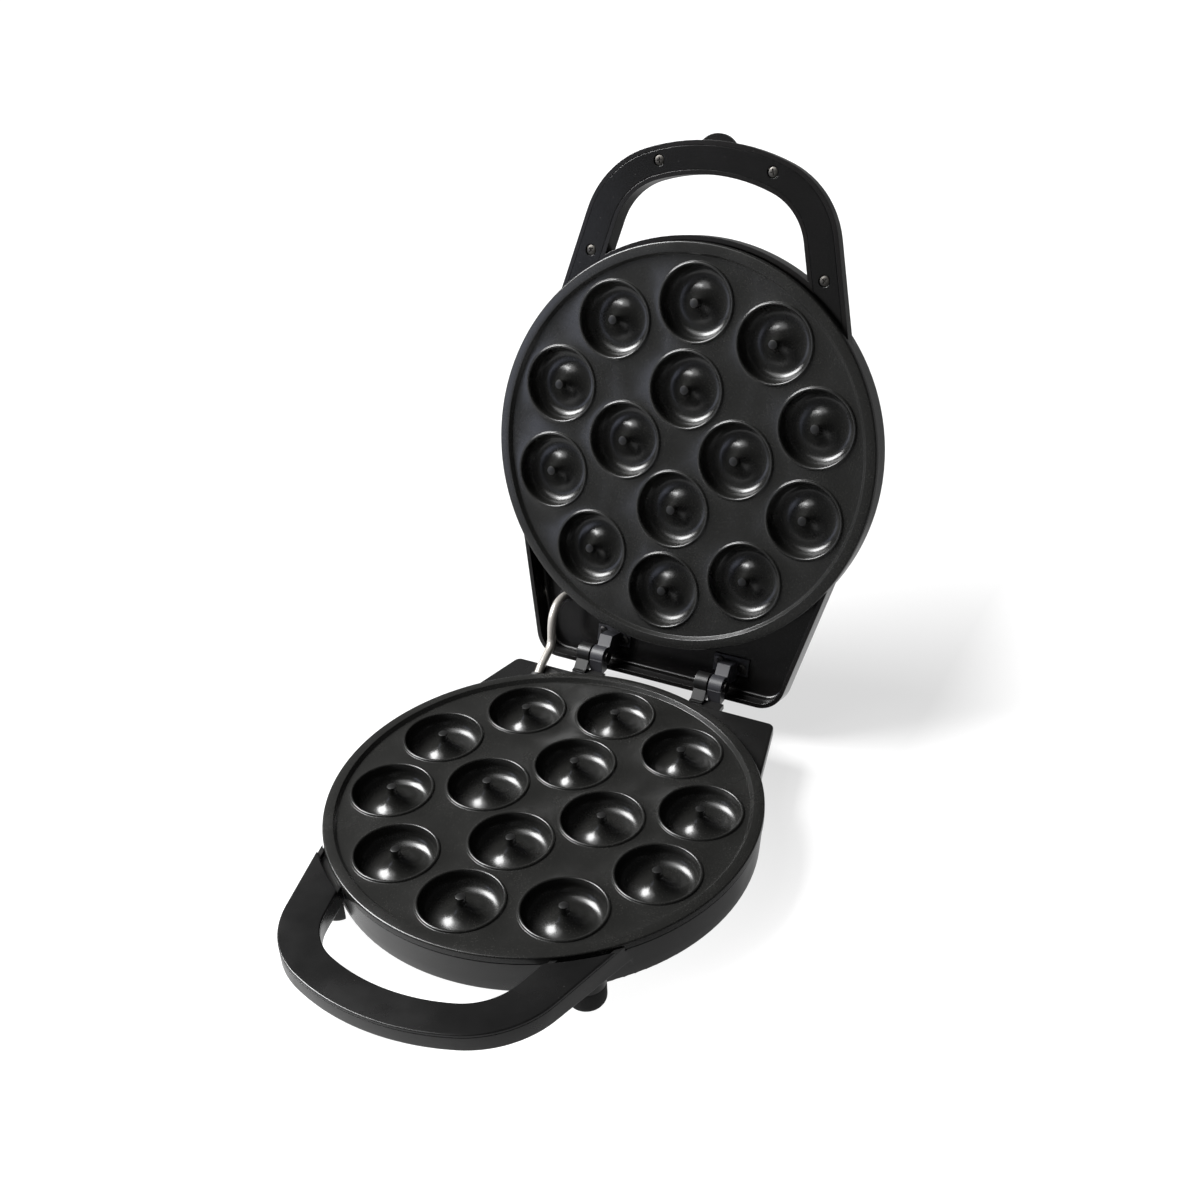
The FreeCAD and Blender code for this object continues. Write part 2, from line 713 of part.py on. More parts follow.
def base_handle_cover():
    """Face of the base handle with a locating rim and screw posts below it."""
    face, back = BASE_HANDLE_FACE, BASE_HANDLE_FACE + BASE_COVER_THICK
    inner = WALL + COVER_CLEAR
    rim_wall = 1.6
    rim_end = back + 2.0
    post_r = 3.2
    cover = rounded(base_ring(0, face, back), BASE_COVER_ROUND, at_level(face))
    rim = base_ring(inner, back - 0.5, rim_end).cut(base_ring(inner + rim_wall, back, rim_end + 1))
    posts = [disc(post_r, back - 0.5, base_handle_back(y) - WALL - 0.2, x, y) for x, y in BASE_SCREWS]
    cover = joined([cover, rim] + posts).cut(disc(BASE_COVER_ROOT_R, 0, THROUGH))
    holes = [disc(SCREW_R + PILOT_CLEAR, face + 1.5, FLOOR, x, y) for x, y in BASE_SCREWS]
    return base_half(cover.cut(compound(holes)))


def base_handle_screws():
    """Screws driven up through the handle's floor."""
    return base_half(compound([upright_screw(x, y, base_screw_seat(y), -1, 5.0) for x, y in BASE_SCREWS]))


def bottom_cover():
    """Flat cover with vent slots below the base."""
    reach = WALL + 0.3
    low, high = BOTTOM_COVER_FACE, BASE_DEPTH
    plate = joined([disc(BOTTOM_COVER_R, low, high), rear_box(reach, low, high)])
    length, width = VENT_SIZE
    holes = [shank_hole(*polar(COVER_SCREW_RING_R, angle)) for angle in COVER_SCREW_ANGLES]
    for row in range(VENT_ROWS):
        y = (row - (VENT_ROWS - 1) / 2) * VENT_PITCH
        for x in (-VENT_X, VENT_X):
            slot = Part.makeBox(length, width, THROUGH, Vector(x - length / 2, y - width / 2, 0))
            holes.append(slot)
    return base_half(plate.cut(compound(holes)))


def bottom_cover_screws():
    """Screws of the bottom cover, heads below it."""
    spots = [polar(COVER_SCREW_RING_R, a) for a in COVER_SCREW_ANGLES]
    return base_half(compound([upright_screw(*spot, BASE_DEPTH, -1, 7.0) for spot in spots]))


def rubber_foot(x, y):
    """Foot with a rounded tread: a tall cap on a handle leg in front, a flat pad at the rear."""
    front = y < 0
    top = FRONT_FOOT_TOP if front else BASE_DEPTH
    bend = FRONT_FOOT_ROUND if front else REAR_FOOT_ROUND
    cut = bend * (1 - math.sqrt(0.5))
    foot = turned((0, top), (FOOT_R, top), (FOOT_R, FLOOR - bend),
                  ((FOOT_R - cut, FLOOR - cut), (FOOT_R - bend, FLOOR)), (0, FLOOR))
    foot.translate(Vector(-x, y, 0))
    if front:
        foot = foot.cut(disc(HOUSING_R - 0.9, 0, FLOOR + 1))
    return base_half(foot)


def hinge_pin(x):
    """Pin through a pair of fingers, headed at its right end."""
    start = Vector(x - PIN_LENGTH / 2 - 0.6, HINGE_Y, HINGE_Z)
    end = start + Vector(PIN_LENGTH, 0, 0)
    return joined([rod(HINGE_PIN_R, start, end), rod(PIN_HEAD_R, end, end + Vector(PIN_HEAD_THICK, 0, 0))])


def cord_gland():
    """Inlet of the mains cord in the rear wall."""
    outer = rod(GLAND_R, *gland_run(GLAND_START, GLAND_END))
    flange = rod(GLAND_FLANGE_R, *gland_run(GLAND_SEAT, GLAND_SEAT + 2))
    return joined([outer, flange]).cut(rod(GLAND_BORE_R, *gland_run(GLAND_START - 1, GLAND_END + 1)))


def thermostat():
    """Snap-disc thermostat on the back of the lower plate."""
    x, y = polar(*THERMOSTAT_SPOT)
    rim, cap, blade = FIELD_BACK + 5, FIELD_BACK + 8, FIELD_BACK + 12
    return base_half(joined([disc(6.8, FIELD_BACK, rim, x, y), disc(4.5, rim - 1, cap, x, y),
                             block((x - 5, x + 5), (y - 0.4, y + 0.4), (cap - 1, blade))]))


def thermal_fuse():
    """One-shot fuse in its sleeve beside the thermostat."""
    x, y = polar(*FUSE_SPOT)
    centre = Vector(x, y, FIELD_BACK + 2.5)
    can, leads = X_AXIS * 6, X_AXIS * 9
    return base_half(joined([rod(2.4, centre - can, centre + can), rod(0.6, centre - leads, centre + leads)]))


def terminal_block():
    """Three-way terminal block on the bottom cover."""
    middle, pitch, front, rear, top = 34.0, 8.0, 80.0, 90.0, 15.0
    level = (top + BOTTOM_COVER_FACE) / 2
    half = 1.5 * pitch
    body = block((middle - half, middle + half), (front, rear), (top, BOTTOM_COVER_FACE))
    ways = [middle + way * pitch for way in (-1, 0, 1)]
    holes = [rod(1.8, Vector(x, front - 1, level), Vector(x, rear + 1, level)) for x in ways]
    return base_half(body.cut(compound(holes)))


# Lid, drawn closed

def lid_dish(inset, low):
    """Round dish of the lid from one level up, drawn in by inset."""
    edge_r = HOUSING_R - inset
    shoulder_r = LID_SHOULDER_R - inset
    level = LID_DEPTH - inset
    bend = LID_SHOULDER_ROUND - inset
    cut = bend * (1 - math.sqrt(0.5))
    return turned(
        (0, low), (edge_r, low), (shoulder_r, level - bend),
        ((shoulder_r - cut, level - cut), (shoulder_r - bend, level)), (0, level))


def lid_housing():
    """Outer moulding of the lid: dish, handle with its lifting tab, and open rear wing."""
    floor = wing_floor()
    wing = rounded(lid_wing(0, LID_WING_FACE, LID_SHOULDER), 3.5, at_level(LID_SHOULDER))
    wing = wing.cut(rounded(lid_wing(WALL, LID_WING_FACE - 1, floor), 2.0, at_level(floor)))
    tab = disc(TAB_R, TAB_FACE, TAB_FACE + TAB_THICK, 0, TAB_R - TAB_REACH)
    tab = tab.cut(prism(handle_outline(LID_GRIP, 1.0), 0, THROUGH))
    outside = joined([lid_handle_shell(), tab, wing]).cut(disc(HOUSING_R - WALL / 2, 0, THROUGH))
    dish = lid_dish(0, HOUSING_EDGE).cut(lid_dish(WALL, HOUSING_EDGE - 1)).cut(lid_inner_gate())
    posts = [disc(BOSS_R, BOSS_END, LID_DEPTH - WALL + 0.5, *polar(BOSS_RING_R, a)) for a in BOSS_ANGLES]
    half = SCREW_HEAD_R + HEAD_CLEAR
    seat_span = (LID_HANDLE_FACE + LID_COVER_THICK, LID_HANDLE_BACK - 1)
    seats = [block((x - half, x + half), (y - half, y + half), seat_span) for x, y in LID_SCREWS]
    body = joined([outside, dish] + posts + seats)
    holes = [disc(PANEL_R + 0.2, LID_DEPTH - PANEL_THICK, THROUGH)] + lens_holes()
    for angle in BOSS_ANGLES:
        x, y = polar(BOSS_RING_R, angle)
        holes.append(shank_hole(x, y))
        holes.append(disc(SCREW_HEAD_R + HEAD_CLEAR, BOSS_END + LUG_THICK, THROUGH, x, y))
    holes += [disc(SCREW_R + PILOT_CLEAR, 0, LID_HANDLE_BACK - 3, x, y) for x, y in LID_SCREWS]
    spots = [spot for x in HINGE_X for spot in finger_screw_spots(x)]
    holes += [disc(SCREW_R + PILOT_CLEAR, floor - 1, floor + 1.6, *spot) for spot in spots]
    return body.cut(compound(holes)).Solids[0]


def wing_floor():
    """Level of the floor inside the lid's wing."""
    return LID_SHOULDER - WALL


def lid_inner_gate():
    """Opening in the dish's wall through which the wires pass to the wing."""
    return block((-72, -56), (80, 110), (10, 15))


def crowned_disc(radius, low, edge, top):
    """Disc whose upper face is part of a ball, from its edge's level up to its top."""
    rise = top - edge
    ball = (radius ** 2 + rise ** 2) / (2 * rise)
    halfway = top - ball + math.sqrt(ball ** 2 - radius ** 2 / 4)
    return turned((0, low), (radius, low), (radius, edge), ((radius / 2, halfway), (0, top)))


def lid_top_panel():
    """Slightly crowned round panel that hides the plate screws."""
    panel = crowned_disc(PANEL_R, LID_DEPTH - PANEL_THICK, LID_DEPTH - 0.2, LID_DEPTH + PANEL_CROWN)
    return panel.cut(compound(lens_holes()))


def lens_holes():
    """Holes of both signal lenses."""
    return [disc(LENS_R + 0.05, BOSS_END, THROUGH, x, LENS_Y) for x in LENS_X]


def lens(x):
    """Domed lens of a signal lamp, with a collar below the panel."""
    top, under = LID_DEPTH + PANEL_CROWN + 0.9, LID_DEPTH - WALL
    dome = crowned_disc(LENS_R, LID_DEPTH - 6.6, top - 1.1, top)
    collar = disc(LENS_R + 1.5, under - 1.5, under)
    piece = joined([dome, collar])
    piece.translate(Vector(x, LENS_Y, 0))
    return piece


def signal_lamp(x):
    """Glow lamp behind a lens."""
    radius, low, high = 2.2, 17.2, 21.0
    bulb = [disc(radius, low, high, x, LENS_Y), Part.makeSphere(radius, Vector(x, LENS_Y, low))]
    leads = [disc(0.35, CUP_BACK + 0.6, low, x + aside, LENS_Y) for aside in (-1, 1)]
    return joined(bulb + leads)


def lid_handle_cover():
    """Inner face of the lid handle, let into the handle's frame."""
    cover = lid_ring(WALL + COVER_CLEAR, LID_HANDLE_FACE, LID_HANDLE_FACE + LID_COVER_THICK)
    cover = cover.cut(disc(LID_COVER_ROOT_R, 0, THROUGH))
    holes = []
    for x, y in LID_SCREWS:
        holes.append(shank_hole(x, y))
        holes.append(disc(SCREW_HEAD_R + HEAD_CLEAR, 0, LID_HANDLE_FACE + SCREW_SINK, x, y))
    return cover.cut(compound(holes))


def lid_handle_screws():
    """Four cross-head screws sunk in the lid handle's cover."""
    return compound([upright_screw(x, y, LID_HANDLE_FACE + SCREW_SINK, 1, 7.0) for x, y in LID_SCREWS])


def lid_finger(x):
    """Lid hinge finger with a heel that meets the base's ledge when the lid is open."""
    finger_x = x + FINGER_OFFSET
    floor = wing_floor()
    half = FINGER_WIDTH / 2
    reach = half + FINGER_FOOT_SIDE
    root_y = LID_FINGER_FACE[-1][0]
    body = finger(finger_x, LID_FINGER_FACE + ((root_y, floor), (HINGE_Y, floor)))
    foot = block((finger_x - reach, finger_x + reach), FINGER_FOOT_Y, (floor - FINGER_FOOT, floor))
    heel = block((finger_x - half, finger_x + half), (LEDGE_END + STOP_GAP, HINGE_Y),
                 (HINGE_Z - HEEL_DROP, HINGE_Z))
    heel.rotate(Vector(0, HINGE_Y, HINGE_Z), X_AXIS, OPEN_ANGLE)
    holes = [pin_bore()] + [shank_hole(*spot) for spot in finger_screw_spots(x)]
    return joined([body, foot, heel]).cut(compound(holes))


def finger_screw_spots(x):
    """Two screws beside a lid finger."""
    aside = FINGER_WIDTH / 2 + 3.2
    return [(x + FINGER_OFFSET + aside, 117.0), (x + FINGER_OFFSET - aside, 114.5)]


def lid_finger_screws():
    """Screws of both lid fingers, sunk into the lid's floor."""
    seat = wing_floor() - FINGER_FOOT
    spots = [spot for x in HINGE_X for spot in finger_screw_spots(x)]
    return compound([upright_screw(*spot, seat, 1, 2.8) for spot in spots])


# Wires

def tube(points, radius):
    """Round tube along straight runs joined by tangent arcs as large as the runs allow."""
    spots = [Vector(*p) for p in points]
    edges, radii = [], []
    here = spots[0]
    for before, corner, after in zip(spots, spots[1:], spots[2:]):
        way_in = (corner - before).normalize()
        way_out = (after - corner).normalize()
        half_turn = way_in.getAngle(way_out) / 2
        reach = 0.45 * min((corner - before).Length, (after - corner).Length)
        bend = reach / math.tan(half_turn)
        radii.append(bend)
        start, end = corner - way_in * reach, corner + way_out * reach
        middle = corner + (way_out - way_in).normalize() * (bend / math.cos(half_turn) - bend)
        edges.append(Part.LineSegment(here, start).toShape())
        edges.append(Part.Arc(start, middle, end).toShape())
        here = end
    edges.append(Part.LineSegment(here, spots[-1]).toShape())
    path = Part.Wire(edges)
    section = Part.Wire(Part.makeCircle(radius, spots[0], spots[1] - spots[0]))
    solid = path.makePipeShell([section], True, False)
    print("tube length %.1f, volume ratio %.4f, radii %s" % (
        path.Length, solid.Volume / (math.pi * radius ** 2 * path.Length), [round(r, 1) for r in radii]))
    return solid


def sleeve():
    """Flexible sleeve with the lid's wires."""
    return tube(SLEEVE_ROUTE, SLEEVE_R)


def sleeve_end(index, radius):
    """Short rod on the sleeve's first or last run, for bushes and their holes."""
    route = [Vector(*p) for p in SLEEVE_ROUTE]
    start, end = (route[0], route[1]) if index == 0 else (route[-1], route[-2])
    along = (end - start).normalize()
    return rod(radius, start - along * 1.0, start + along * 5.0)


def base_sleeve_bush():
    """Bush of the sleeve in the base wing."""
    return sleeve_end(0, BUSH_R).cut(sleeve_end(0, SLEEVE_R + 0.03))


def lid_sleeve_bush():
    """Bush of the sleeve on the lid wing's floor, round the sleeve's end."""
    end = swung_shut(Vector(*SLEEVE_ROUTE[-1]))
    floor = wing_floor()
    low = floor - LID_BUSH_HEIGHT
    inner = SLEEVE_R + LID_BUSH_CLEAR
    outer = inner + 1.4
    return disc(outer, low, floor, end.x, end.y).cut(disc(inner, low - 1, floor + 1, end.x, end.y))


def swung_shut(point):
    """Place of an open lid's point when the lid is closed."""
    angle = math.radians(OPEN_ANGLE)
    y, z = point.y - HINGE_Y, point.z - HINGE_Z
    return Vector(point.x, HINGE_Y + y * math.cos(angle) - z * math.sin(angle),
                  HINGE_Z + y * math.sin(angle) + z * math.cos(angle))


def base_wires():
    """Wires from the terminal block to the element and thermostat."""
    level = -19.3
    runs = [
        ((-34, 86, level), (-34, 95, level), (-22, 97.5, level), (-10, 98, level)),
        ((-26, 86, level), (-26, 92.5, level), (-10, 94.6, level), (8, 95.5, level)),
    ]
    return compound([tube(run, WIRE_R) for run in runs])


def lid_wires():
    """Wires from the sleeve to the lid's element and lamps."""
    level = 23.6
    runs = [
        ((-54, 76, level), (-40, 66, level), (-30, 36, level), (-24, 5, level)),
        ((-50, 76, level), (-36, 64, level), (-22, 30, level), (-14, 0, level)),
    ]
    return compound([tube(run, WIRE_R) for run in runs])


def closed_lid_pieces():
    """Lid nodes in the closed pose."""
    pieces = {
        "lid_housing": lid_housing(),
        "lid_top_panel": lid_top_panel(),
        "lid_handle_cover": lid_handle_cover(),
        "lid_handle_screws": lid_handle_screws(),
        "upper_plate": cooking_plate(),
        "upper_plate_screws": plate_screws(BOSS_END + LUG_THICK),
        "upper_element": heating_element(),
        "upper_element_clamps": element_clamps(),
        "upper_clamp_screws": clamp_screws(),
        "upper_reflector": reflector(),
        "upper_reflector_screw": reflector_screw(),
        "lid_finger_left": lid_finger(HINGE_X[0]),
        "lid_finger_right": lid_finger(HINGE_X[1]),
        "lid_finger_screws": lid_finger_screws(),
        "lid_sleeve_bush": lid_sleeve_bush(),
        "power_lens": lens(LENS_X[0]),
        "ready_lens": lens(LENS_X[1]),
        "power_lamp": signal_lamp(LENS_X[0]),
        "ready_lamp": signal_lamp(LENS_X[1]),
        "lid_wires": lid_wires(),
    }
    return pieces


def base_pieces():
    """Base nodes."""
    pieces = {
        "base_housing": base_housing(),
        "base_handle_cover": base_handle_cover(),
        "base_handle_screws": base_handle_screws(),
        "bottom_cover": bottom_cover(),
        "bottom_cover_screws": bottom_cover_screws(),
        "lower_plate": base_half(cooking_plate()),
        "lower_plate_screws": base_half(plate_screws(BOSS_END + LUG_THICK)),
        "lower_element": base_half(heating_element()),
        "lower_element_clamps": base_half(element_clamps()),
        "lower_clamp_screws": base_half(clamp_screws()),
        "lower_reflector": base_half(reflector()),
        "lower_reflector_screw": base_half(reflector_screw()),
        "thermostat": thermostat(),
        "thermal_fuse": thermal_fuse(),
        "terminal_block": terminal_block(),
        "base_wires": base_wires(),
        "cord_gland": cord_gland(),
        "base_sleeve_bush": base_sleeve_bush(),
        "sleeve": sleeve(),
        "hinge_pin_left": hinge_pin(HINGE_X[0]),
        "hinge_pin_right": hinge_pin(HINGE_X[1]),
    }
    for name, (x, y) in foot_spots().items():
        pieces[name] = rubber_foot(x, y)
    return pieces


def main():
    """Builds every node, moves it to the rest frame and writes it."""
    os.makedirs("parts", exist_ok=True)
    pieces = base_pieces()
    for name, shape in closed_lid_pieces().items():
        pieces[name] = swung_open(shape)
    boxes = [shape.optimalBoundingBox(True, False) for shape in pieces.values()]
    middle = (min(b.YMin for b in boxes) + max(b.YMax for b in boxes)) / 2
    shift = Vector(0, -round(middle, 1), FLOOR)
    for name, shape in pieces.items():
        shape.translate(shift)
        shape.exportStep("parts/%s.step" % name)
        if not shape.isValid():
            print("not valid:", name)
        print("%-24s solids %d volume %.0f" % (name, len(shape.Solids), shape.Volume))
    print("shift", shift, "reach", [(round(min(v), 1), round(max(w), 1)) for v, w in (
        ([b.XMin for b in boxes], [b.XMax for b in boxes]),
        ([b.YMin for b in boxes], [b.YMax for b in boxes]),
        ([b.ZMin for b in boxes], [b.ZMax for b in boxes]))])


main()
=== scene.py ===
"""Looks of an open donut maker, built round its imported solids.

The solids give every place and size. Pieces that show get a finer mesh here, and each gets a
finish worked out from what the real surface is. Scene lengths are metres, +Z up, +Y towards the
hinge; sizes of pieces are millimetres in the drawing of their half.
"""

import logging
import math
from dataclasses import dataclass
from enum import Enum
from typing import Any, ClassVar, Dict, Iterable, List, Optional, Sequence, Tuple

import bpy
from mathutils import Matrix, Vector

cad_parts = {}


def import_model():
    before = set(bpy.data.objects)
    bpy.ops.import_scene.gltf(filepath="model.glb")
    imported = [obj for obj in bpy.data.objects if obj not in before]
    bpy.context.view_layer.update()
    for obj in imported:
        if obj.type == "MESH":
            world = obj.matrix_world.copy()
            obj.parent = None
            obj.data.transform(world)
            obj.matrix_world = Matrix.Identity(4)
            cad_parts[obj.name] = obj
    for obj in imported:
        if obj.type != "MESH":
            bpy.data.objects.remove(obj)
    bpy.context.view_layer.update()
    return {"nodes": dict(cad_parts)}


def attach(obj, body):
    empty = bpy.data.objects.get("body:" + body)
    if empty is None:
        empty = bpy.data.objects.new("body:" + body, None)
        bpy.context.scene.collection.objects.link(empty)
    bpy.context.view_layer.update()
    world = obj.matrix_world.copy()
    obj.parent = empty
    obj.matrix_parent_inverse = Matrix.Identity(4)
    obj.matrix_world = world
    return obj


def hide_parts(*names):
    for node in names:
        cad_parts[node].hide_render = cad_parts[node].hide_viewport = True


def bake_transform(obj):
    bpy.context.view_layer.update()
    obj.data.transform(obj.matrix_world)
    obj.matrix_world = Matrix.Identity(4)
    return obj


LOG = logging.getLogger("donut_maker")
MM = 0.001
DOUBLES_MM = 0.002
SHARP_DEGREES = 32.0
WHITE = "#ffffff"
# From the lower plate's centre at the closing plane to the origin on the worktop.
PLATE_TO_ORIGIN = Vector((0.0, -34.6, 31.0)) * MM
HINGE_AXIS = Vector((0.0, 124.0, -0.6)) * MM
OPEN_ANGLE = math.radians(107.8)

Point = Tuple[float, float]
Span = Tuple[float, float]
Spot = Tuple[float, float, float]
Colour = Tuple[float, float, float, float]
Ramp = Tuple[bpy.types.NodeSocket, Span, Tuple[Any, Any]]


class Body(Enum):
    """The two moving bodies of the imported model."""

    BASE = "base"
    LID = "lid"


class Half(Enum):
    """Which half a piece belongs to; both are drawn face down at the closing plane."""

    LOWER = Body.BASE
    UPPER = Body.LID

    def place(self) -> Matrix:
        """Finds where a half stands at rest.

        Returns:
            Matrix from the drawing of the half to its place.
        """
        shift = Matrix.Translation(PLATE_TO_ORIGIN)
        if self is Half.LOWER:
            return shift @ Matrix.Rotation(math.pi, 4, "Y")
        about = Matrix.Translation(HINGE_AXIS)
        return shift @ about @ Matrix.Rotation(-OPEN_ANGLE, 4, "X") @ about.inverted()


class Shaping(Enum):
    """Ways in which one mesh changes another."""

    ADD = "UNION"
    CUT = "DIFFERENCE"


class Working(Enum):
    """Ways in which several strengths make one."""

    PRODUCT = "MULTIPLY"
    HIGHEST = "MAXIMUM"


# Shading


def linear(hex_colour: str) -> Colour:
    """Turns an sRGB hex colour to linear light.

    Args:
        hex_colour: Six hex digits after a hash.

    Returns:
        Red, green, blue and an alpha of 1.
    """
    parts = [int(hex_colour[i:i + 2], 16) / 255 for i in (1, 3, 5)]
    light = [c / 12.92 if c <= 0.04045 else ((c + 0.055) / 1.055) ** 2.4 for c in parts]
    return light[0], light[1], light[2], 1.0


def add_node(
    tree: bpy.types.NodeTree, kind: str, settings: Optional[Dict[str, Any]] = None,
    inputs: Optional[Dict[Any, Any]] = None,
) -> bpy.types.Node:
    """Adds a node with its settings and links.

    Args:
        tree: Tree that gets the node.
        kind: Blender's name for the node.
        settings: Properties to set on the node.
        inputs: Input name or number to a value, or to the socket that feeds it.

    Returns:
        The new node.
    """
    made = tree.nodes.new(kind)
    for key, value in (settings or {}).items():
        setattr(made, key, value)
    for key, value in (inputs or {}).items():
        if isinstance(value, bpy.types.NodeSocket):
            tree.links.new(value, made.inputs[key])
        else:
            made.inputs[key].default_value = value
    return made


def new_material(name: str) -> Tuple[bpy.types.Material, bpy.types.NodeTree, bpy.types.Node]:
    """Makes an empty material.

    Args:
        name: Name of the finish.

    Returns:
        The material, its tree and its output node.
    """
    material = bpy.data.materials.new(name)
    material.use_nodes = True
    material.node_tree.nodes.clear()
    output = add_node(material.node_tree, "ShaderNodeOutputMaterial")
    return material, material.node_tree, output


def per_metre(size_mm: float) -> float:
    """Texture scale that gives features of about this size."""
    return 1.0 / (size_mm * MM)


@dataclass(frozen=True)
class Finish:
    """One surface of the appliance: its name, and the patterns that its shader reads."""

    coordinates: ClassVar[str] = "Object"
    name: str

    def patterns(self, tree: bpy.types.NodeTree, place: bpy.types.NodeSocket) -> Dict[str, Any]:
        """Adds the patterns of the surface.

        Args:
            tree: Tree of the material.
            place: Coordinates on the piece.

        Returns:
            Inputs of the shader.
        """
        raise NotImplementedError

    def build(self) -> bpy.types.Material:
        """Makes the material.

        Returns:
            The material, ready for a piece.
        """
        material, tree, output = new_material(self.name)
        place = add_node(tree, "ShaderNodeTexCoord").outputs[self.coordinates]
        shader = add_node(tree, "ShaderNodeBsdfPrincipled", inputs=self.patterns(tree, place))
        tree.links.new(shader.outputs[0], output.inputs[0])
        return material


@dataclass(frozen=True)
class MouldedPlastic(Finish):
    """Injection-moulded ABS or nylon: dark, with a fine eroded grain that breaks up its gloss.

    The real grain is about 0.1 mm; it is drawn coarser so that it shows in the render.
    """

    colour: str
    worn_colour: str
    roughness: float
    roughness_spread: float = 0.06
    grain_mm: float = 0.5
    grain_depth_mm: float = 0.012
    flow_mm: float = 38.0
    worn_band: Span = (0.35, 0.75)
    worn_share: float = 0.5
    gloss_band: Span = (0.3, 0.7)
    dust_colour: str = "#4a4846"
    dust_mm: float = 5.5
    dust_edge: Span = (0.03, 0.06)
    dust_share: float = 0.35
    edge_mm: float = 0.35

    def patterns(self, tree: bpy.types.NodeTree, place: bpy.types.NodeSocket) -> Dict[str, Any]:
        """Adds the moulding's grain, its flow marks, flecks of dust and softened edges.

        Args:
            tree: Tree of the material.
            place: Coordinates on the piece.

        Returns:
            Inputs of the shader.
        """
        grain = add_node(tree, "ShaderNodeTexNoise", inputs={
            "Vector": place, "Scale": per_metre(self.grain_mm), "Detail": 3.0, "Roughness": 0.6})
        flow = add_node(tree, "ShaderNodeTexNoise", inputs={
            "Vector": place, "Scale": per_metre(self.flow_mm), "Detail": 4.0, "Roughness": 0.55})
        dust = add_node(tree, "ShaderNodeTexVoronoi", inputs={
            "Vector": place, "Scale": per_metre(self.dust_mm), "Randomness": 1.0})
        fleck = add_node(tree, "ShaderNodeMapRange", inputs={
            "Value": dust.outputs["Distance"], "From Min": self.dust_edge[0],
            "From Max": self.dust_edge[1], "To Min": self.dust_share, "To Max": 0.0})
        tone = add_node(tree, "ShaderNodeMapRange", inputs={
            "Value": flow.outputs["Fac"], "From Min": self.worn_band[0],
            "From Max": self.worn_band[1], "To Min": 0.0, "To Max": self.worn_share})
        colour = add_node(tree, "ShaderNodeMix", {"data_type": "RGBA"}, {
            0: tone.outputs[0], 6: linear(self.colour), 7: linear(self.worn_colour)})
        dusty = add_node(tree, "ShaderNodeMix", {"data_type": "RGBA"}, {
            0: fleck.outputs[0], 6: colour.outputs[2], 7: linear(self.dust_colour)})
        gloss = add_node(tree, "ShaderNodeMapRange", inputs={
            "Value": flow.outputs["Fac"], "From Min": self.gloss_band[0],
            "From Max": self.gloss_band[1], "To Min": self.roughness - self.roughness_spread,
            "To Max": self.roughness + self.roughness_spread})
        edge = add_node(tree, "ShaderNodeBevel", {"samples": 4}, {"Radius": self.edge_mm * MM})
        bump = add_node(tree, "ShaderNodeBump", inputs={
            "Strength": 0.6, "Distance": self.grain_depth_mm * MM,
            "Height": grain.outputs["Fac"], "Normal": edge.outputs[0]})
        return {"Base Color": dusty.outputs[2], "Roughness": gloss.outputs[0],
                "Normal": bump.outputs[0], "IOR": 1.5}


@dataclass(frozen=True)
class NonstickCoat(Finish):
    """PTFE sprayed on cast aluminium: satin black with pale flecks and a slight orange peel.

    The real flecks are about 0.3 mm; they are drawn coarser so that they show in the render.
    """

    colour: str
    fleck_colour: str
    roughness: float
    roughness_spread: float = 0.05
    fleck_mm: float = 1.1
    fleck_edge: Span = (0.12, 0.3)
    fleck_share: Span = (0.1, 0.55)
    cloud_mm: float = 26.0
    cloud_band: Span = (0.4, 0.7)
    gloss_band: Span = (0.3, 0.7)
    peel_mm: float = 1.6
    peel_depth_mm: float = 0.012

    def patterns(self, tree: bpy.types.NodeTree, place: bpy.types.NodeSocket) -> Dict[str, Any]:
        """Adds the coat's flecks, which come and go in clouds, and its orange peel.

        Args:
            tree: Tree of the material.
            place: Coordinates on the piece.

        Returns:
            Inputs of the shader.
        """
        cells = add_node(tree, "ShaderNodeTexVoronoi", inputs={
            "Vector": place, "Scale": per_metre(self.fleck_mm), "Randomness": 1.0})
        spots = add_node(tree, "ShaderNodeMapRange", inputs={
            "Value": cells.outputs["Distance"], "From Min": self.fleck_edge[0],
            "From Max": self.fleck_edge[1], "To Min": 1.0, "To Max": 0.0})
        clouds = add_node(tree, "ShaderNodeTexNoise", inputs={
            "Vector": place, "Scale": per_metre(self.cloud_mm), "Detail": 5.0, "Roughness": 0.6})
        amount = add_node(tree, "ShaderNodeMapRange", inputs={
            "Value": clouds.outputs["Fac"], "From Min": self.cloud_band[0],
            "From Max": self.cloud_band[1], "To Min": self.fleck_share[0],
            "To Max": self.fleck_share[1]})
        share = add_node(tree, "ShaderNodeMath", {"operation": "MULTIPLY"}, {
            0: spots.outputs[0], 1: amount.outputs[0]})
        colour = add_node(tree, "ShaderNodeMix", {"data_type": "RGBA"}, {
            0: share.outputs[0], 6: linear(self.colour), 7: linear(self.fleck_colour)})
        gloss = add_node(tree, "ShaderNodeMapRange", inputs={
            "Value": clouds.outputs["Fac"], "From Min": self.gloss_band[0],
            "From Max": self.gloss_band[1], "To Min": self.roughness - self.roughness_spread,
            "To Max": self.roughness + self.roughness_spread})
        peel = add_node(tree, "ShaderNodeTexNoise", inputs={
            "Vector": place, "Scale": per_metre(self.peel_mm), "Detail": 2.0, "Roughness": 0.5})
        bump = add_node(tree, "ShaderNodeBump", inputs={
            "Strength": 0.5, "Distance": self.peel_depth_mm * MM, "Height": peel.outputs["Fac"]})
        return {"Base Color": colour.outputs[2], "Roughness": gloss.outputs[0],
                "Normal": bump.outputs[0], "IOR": 1.45}


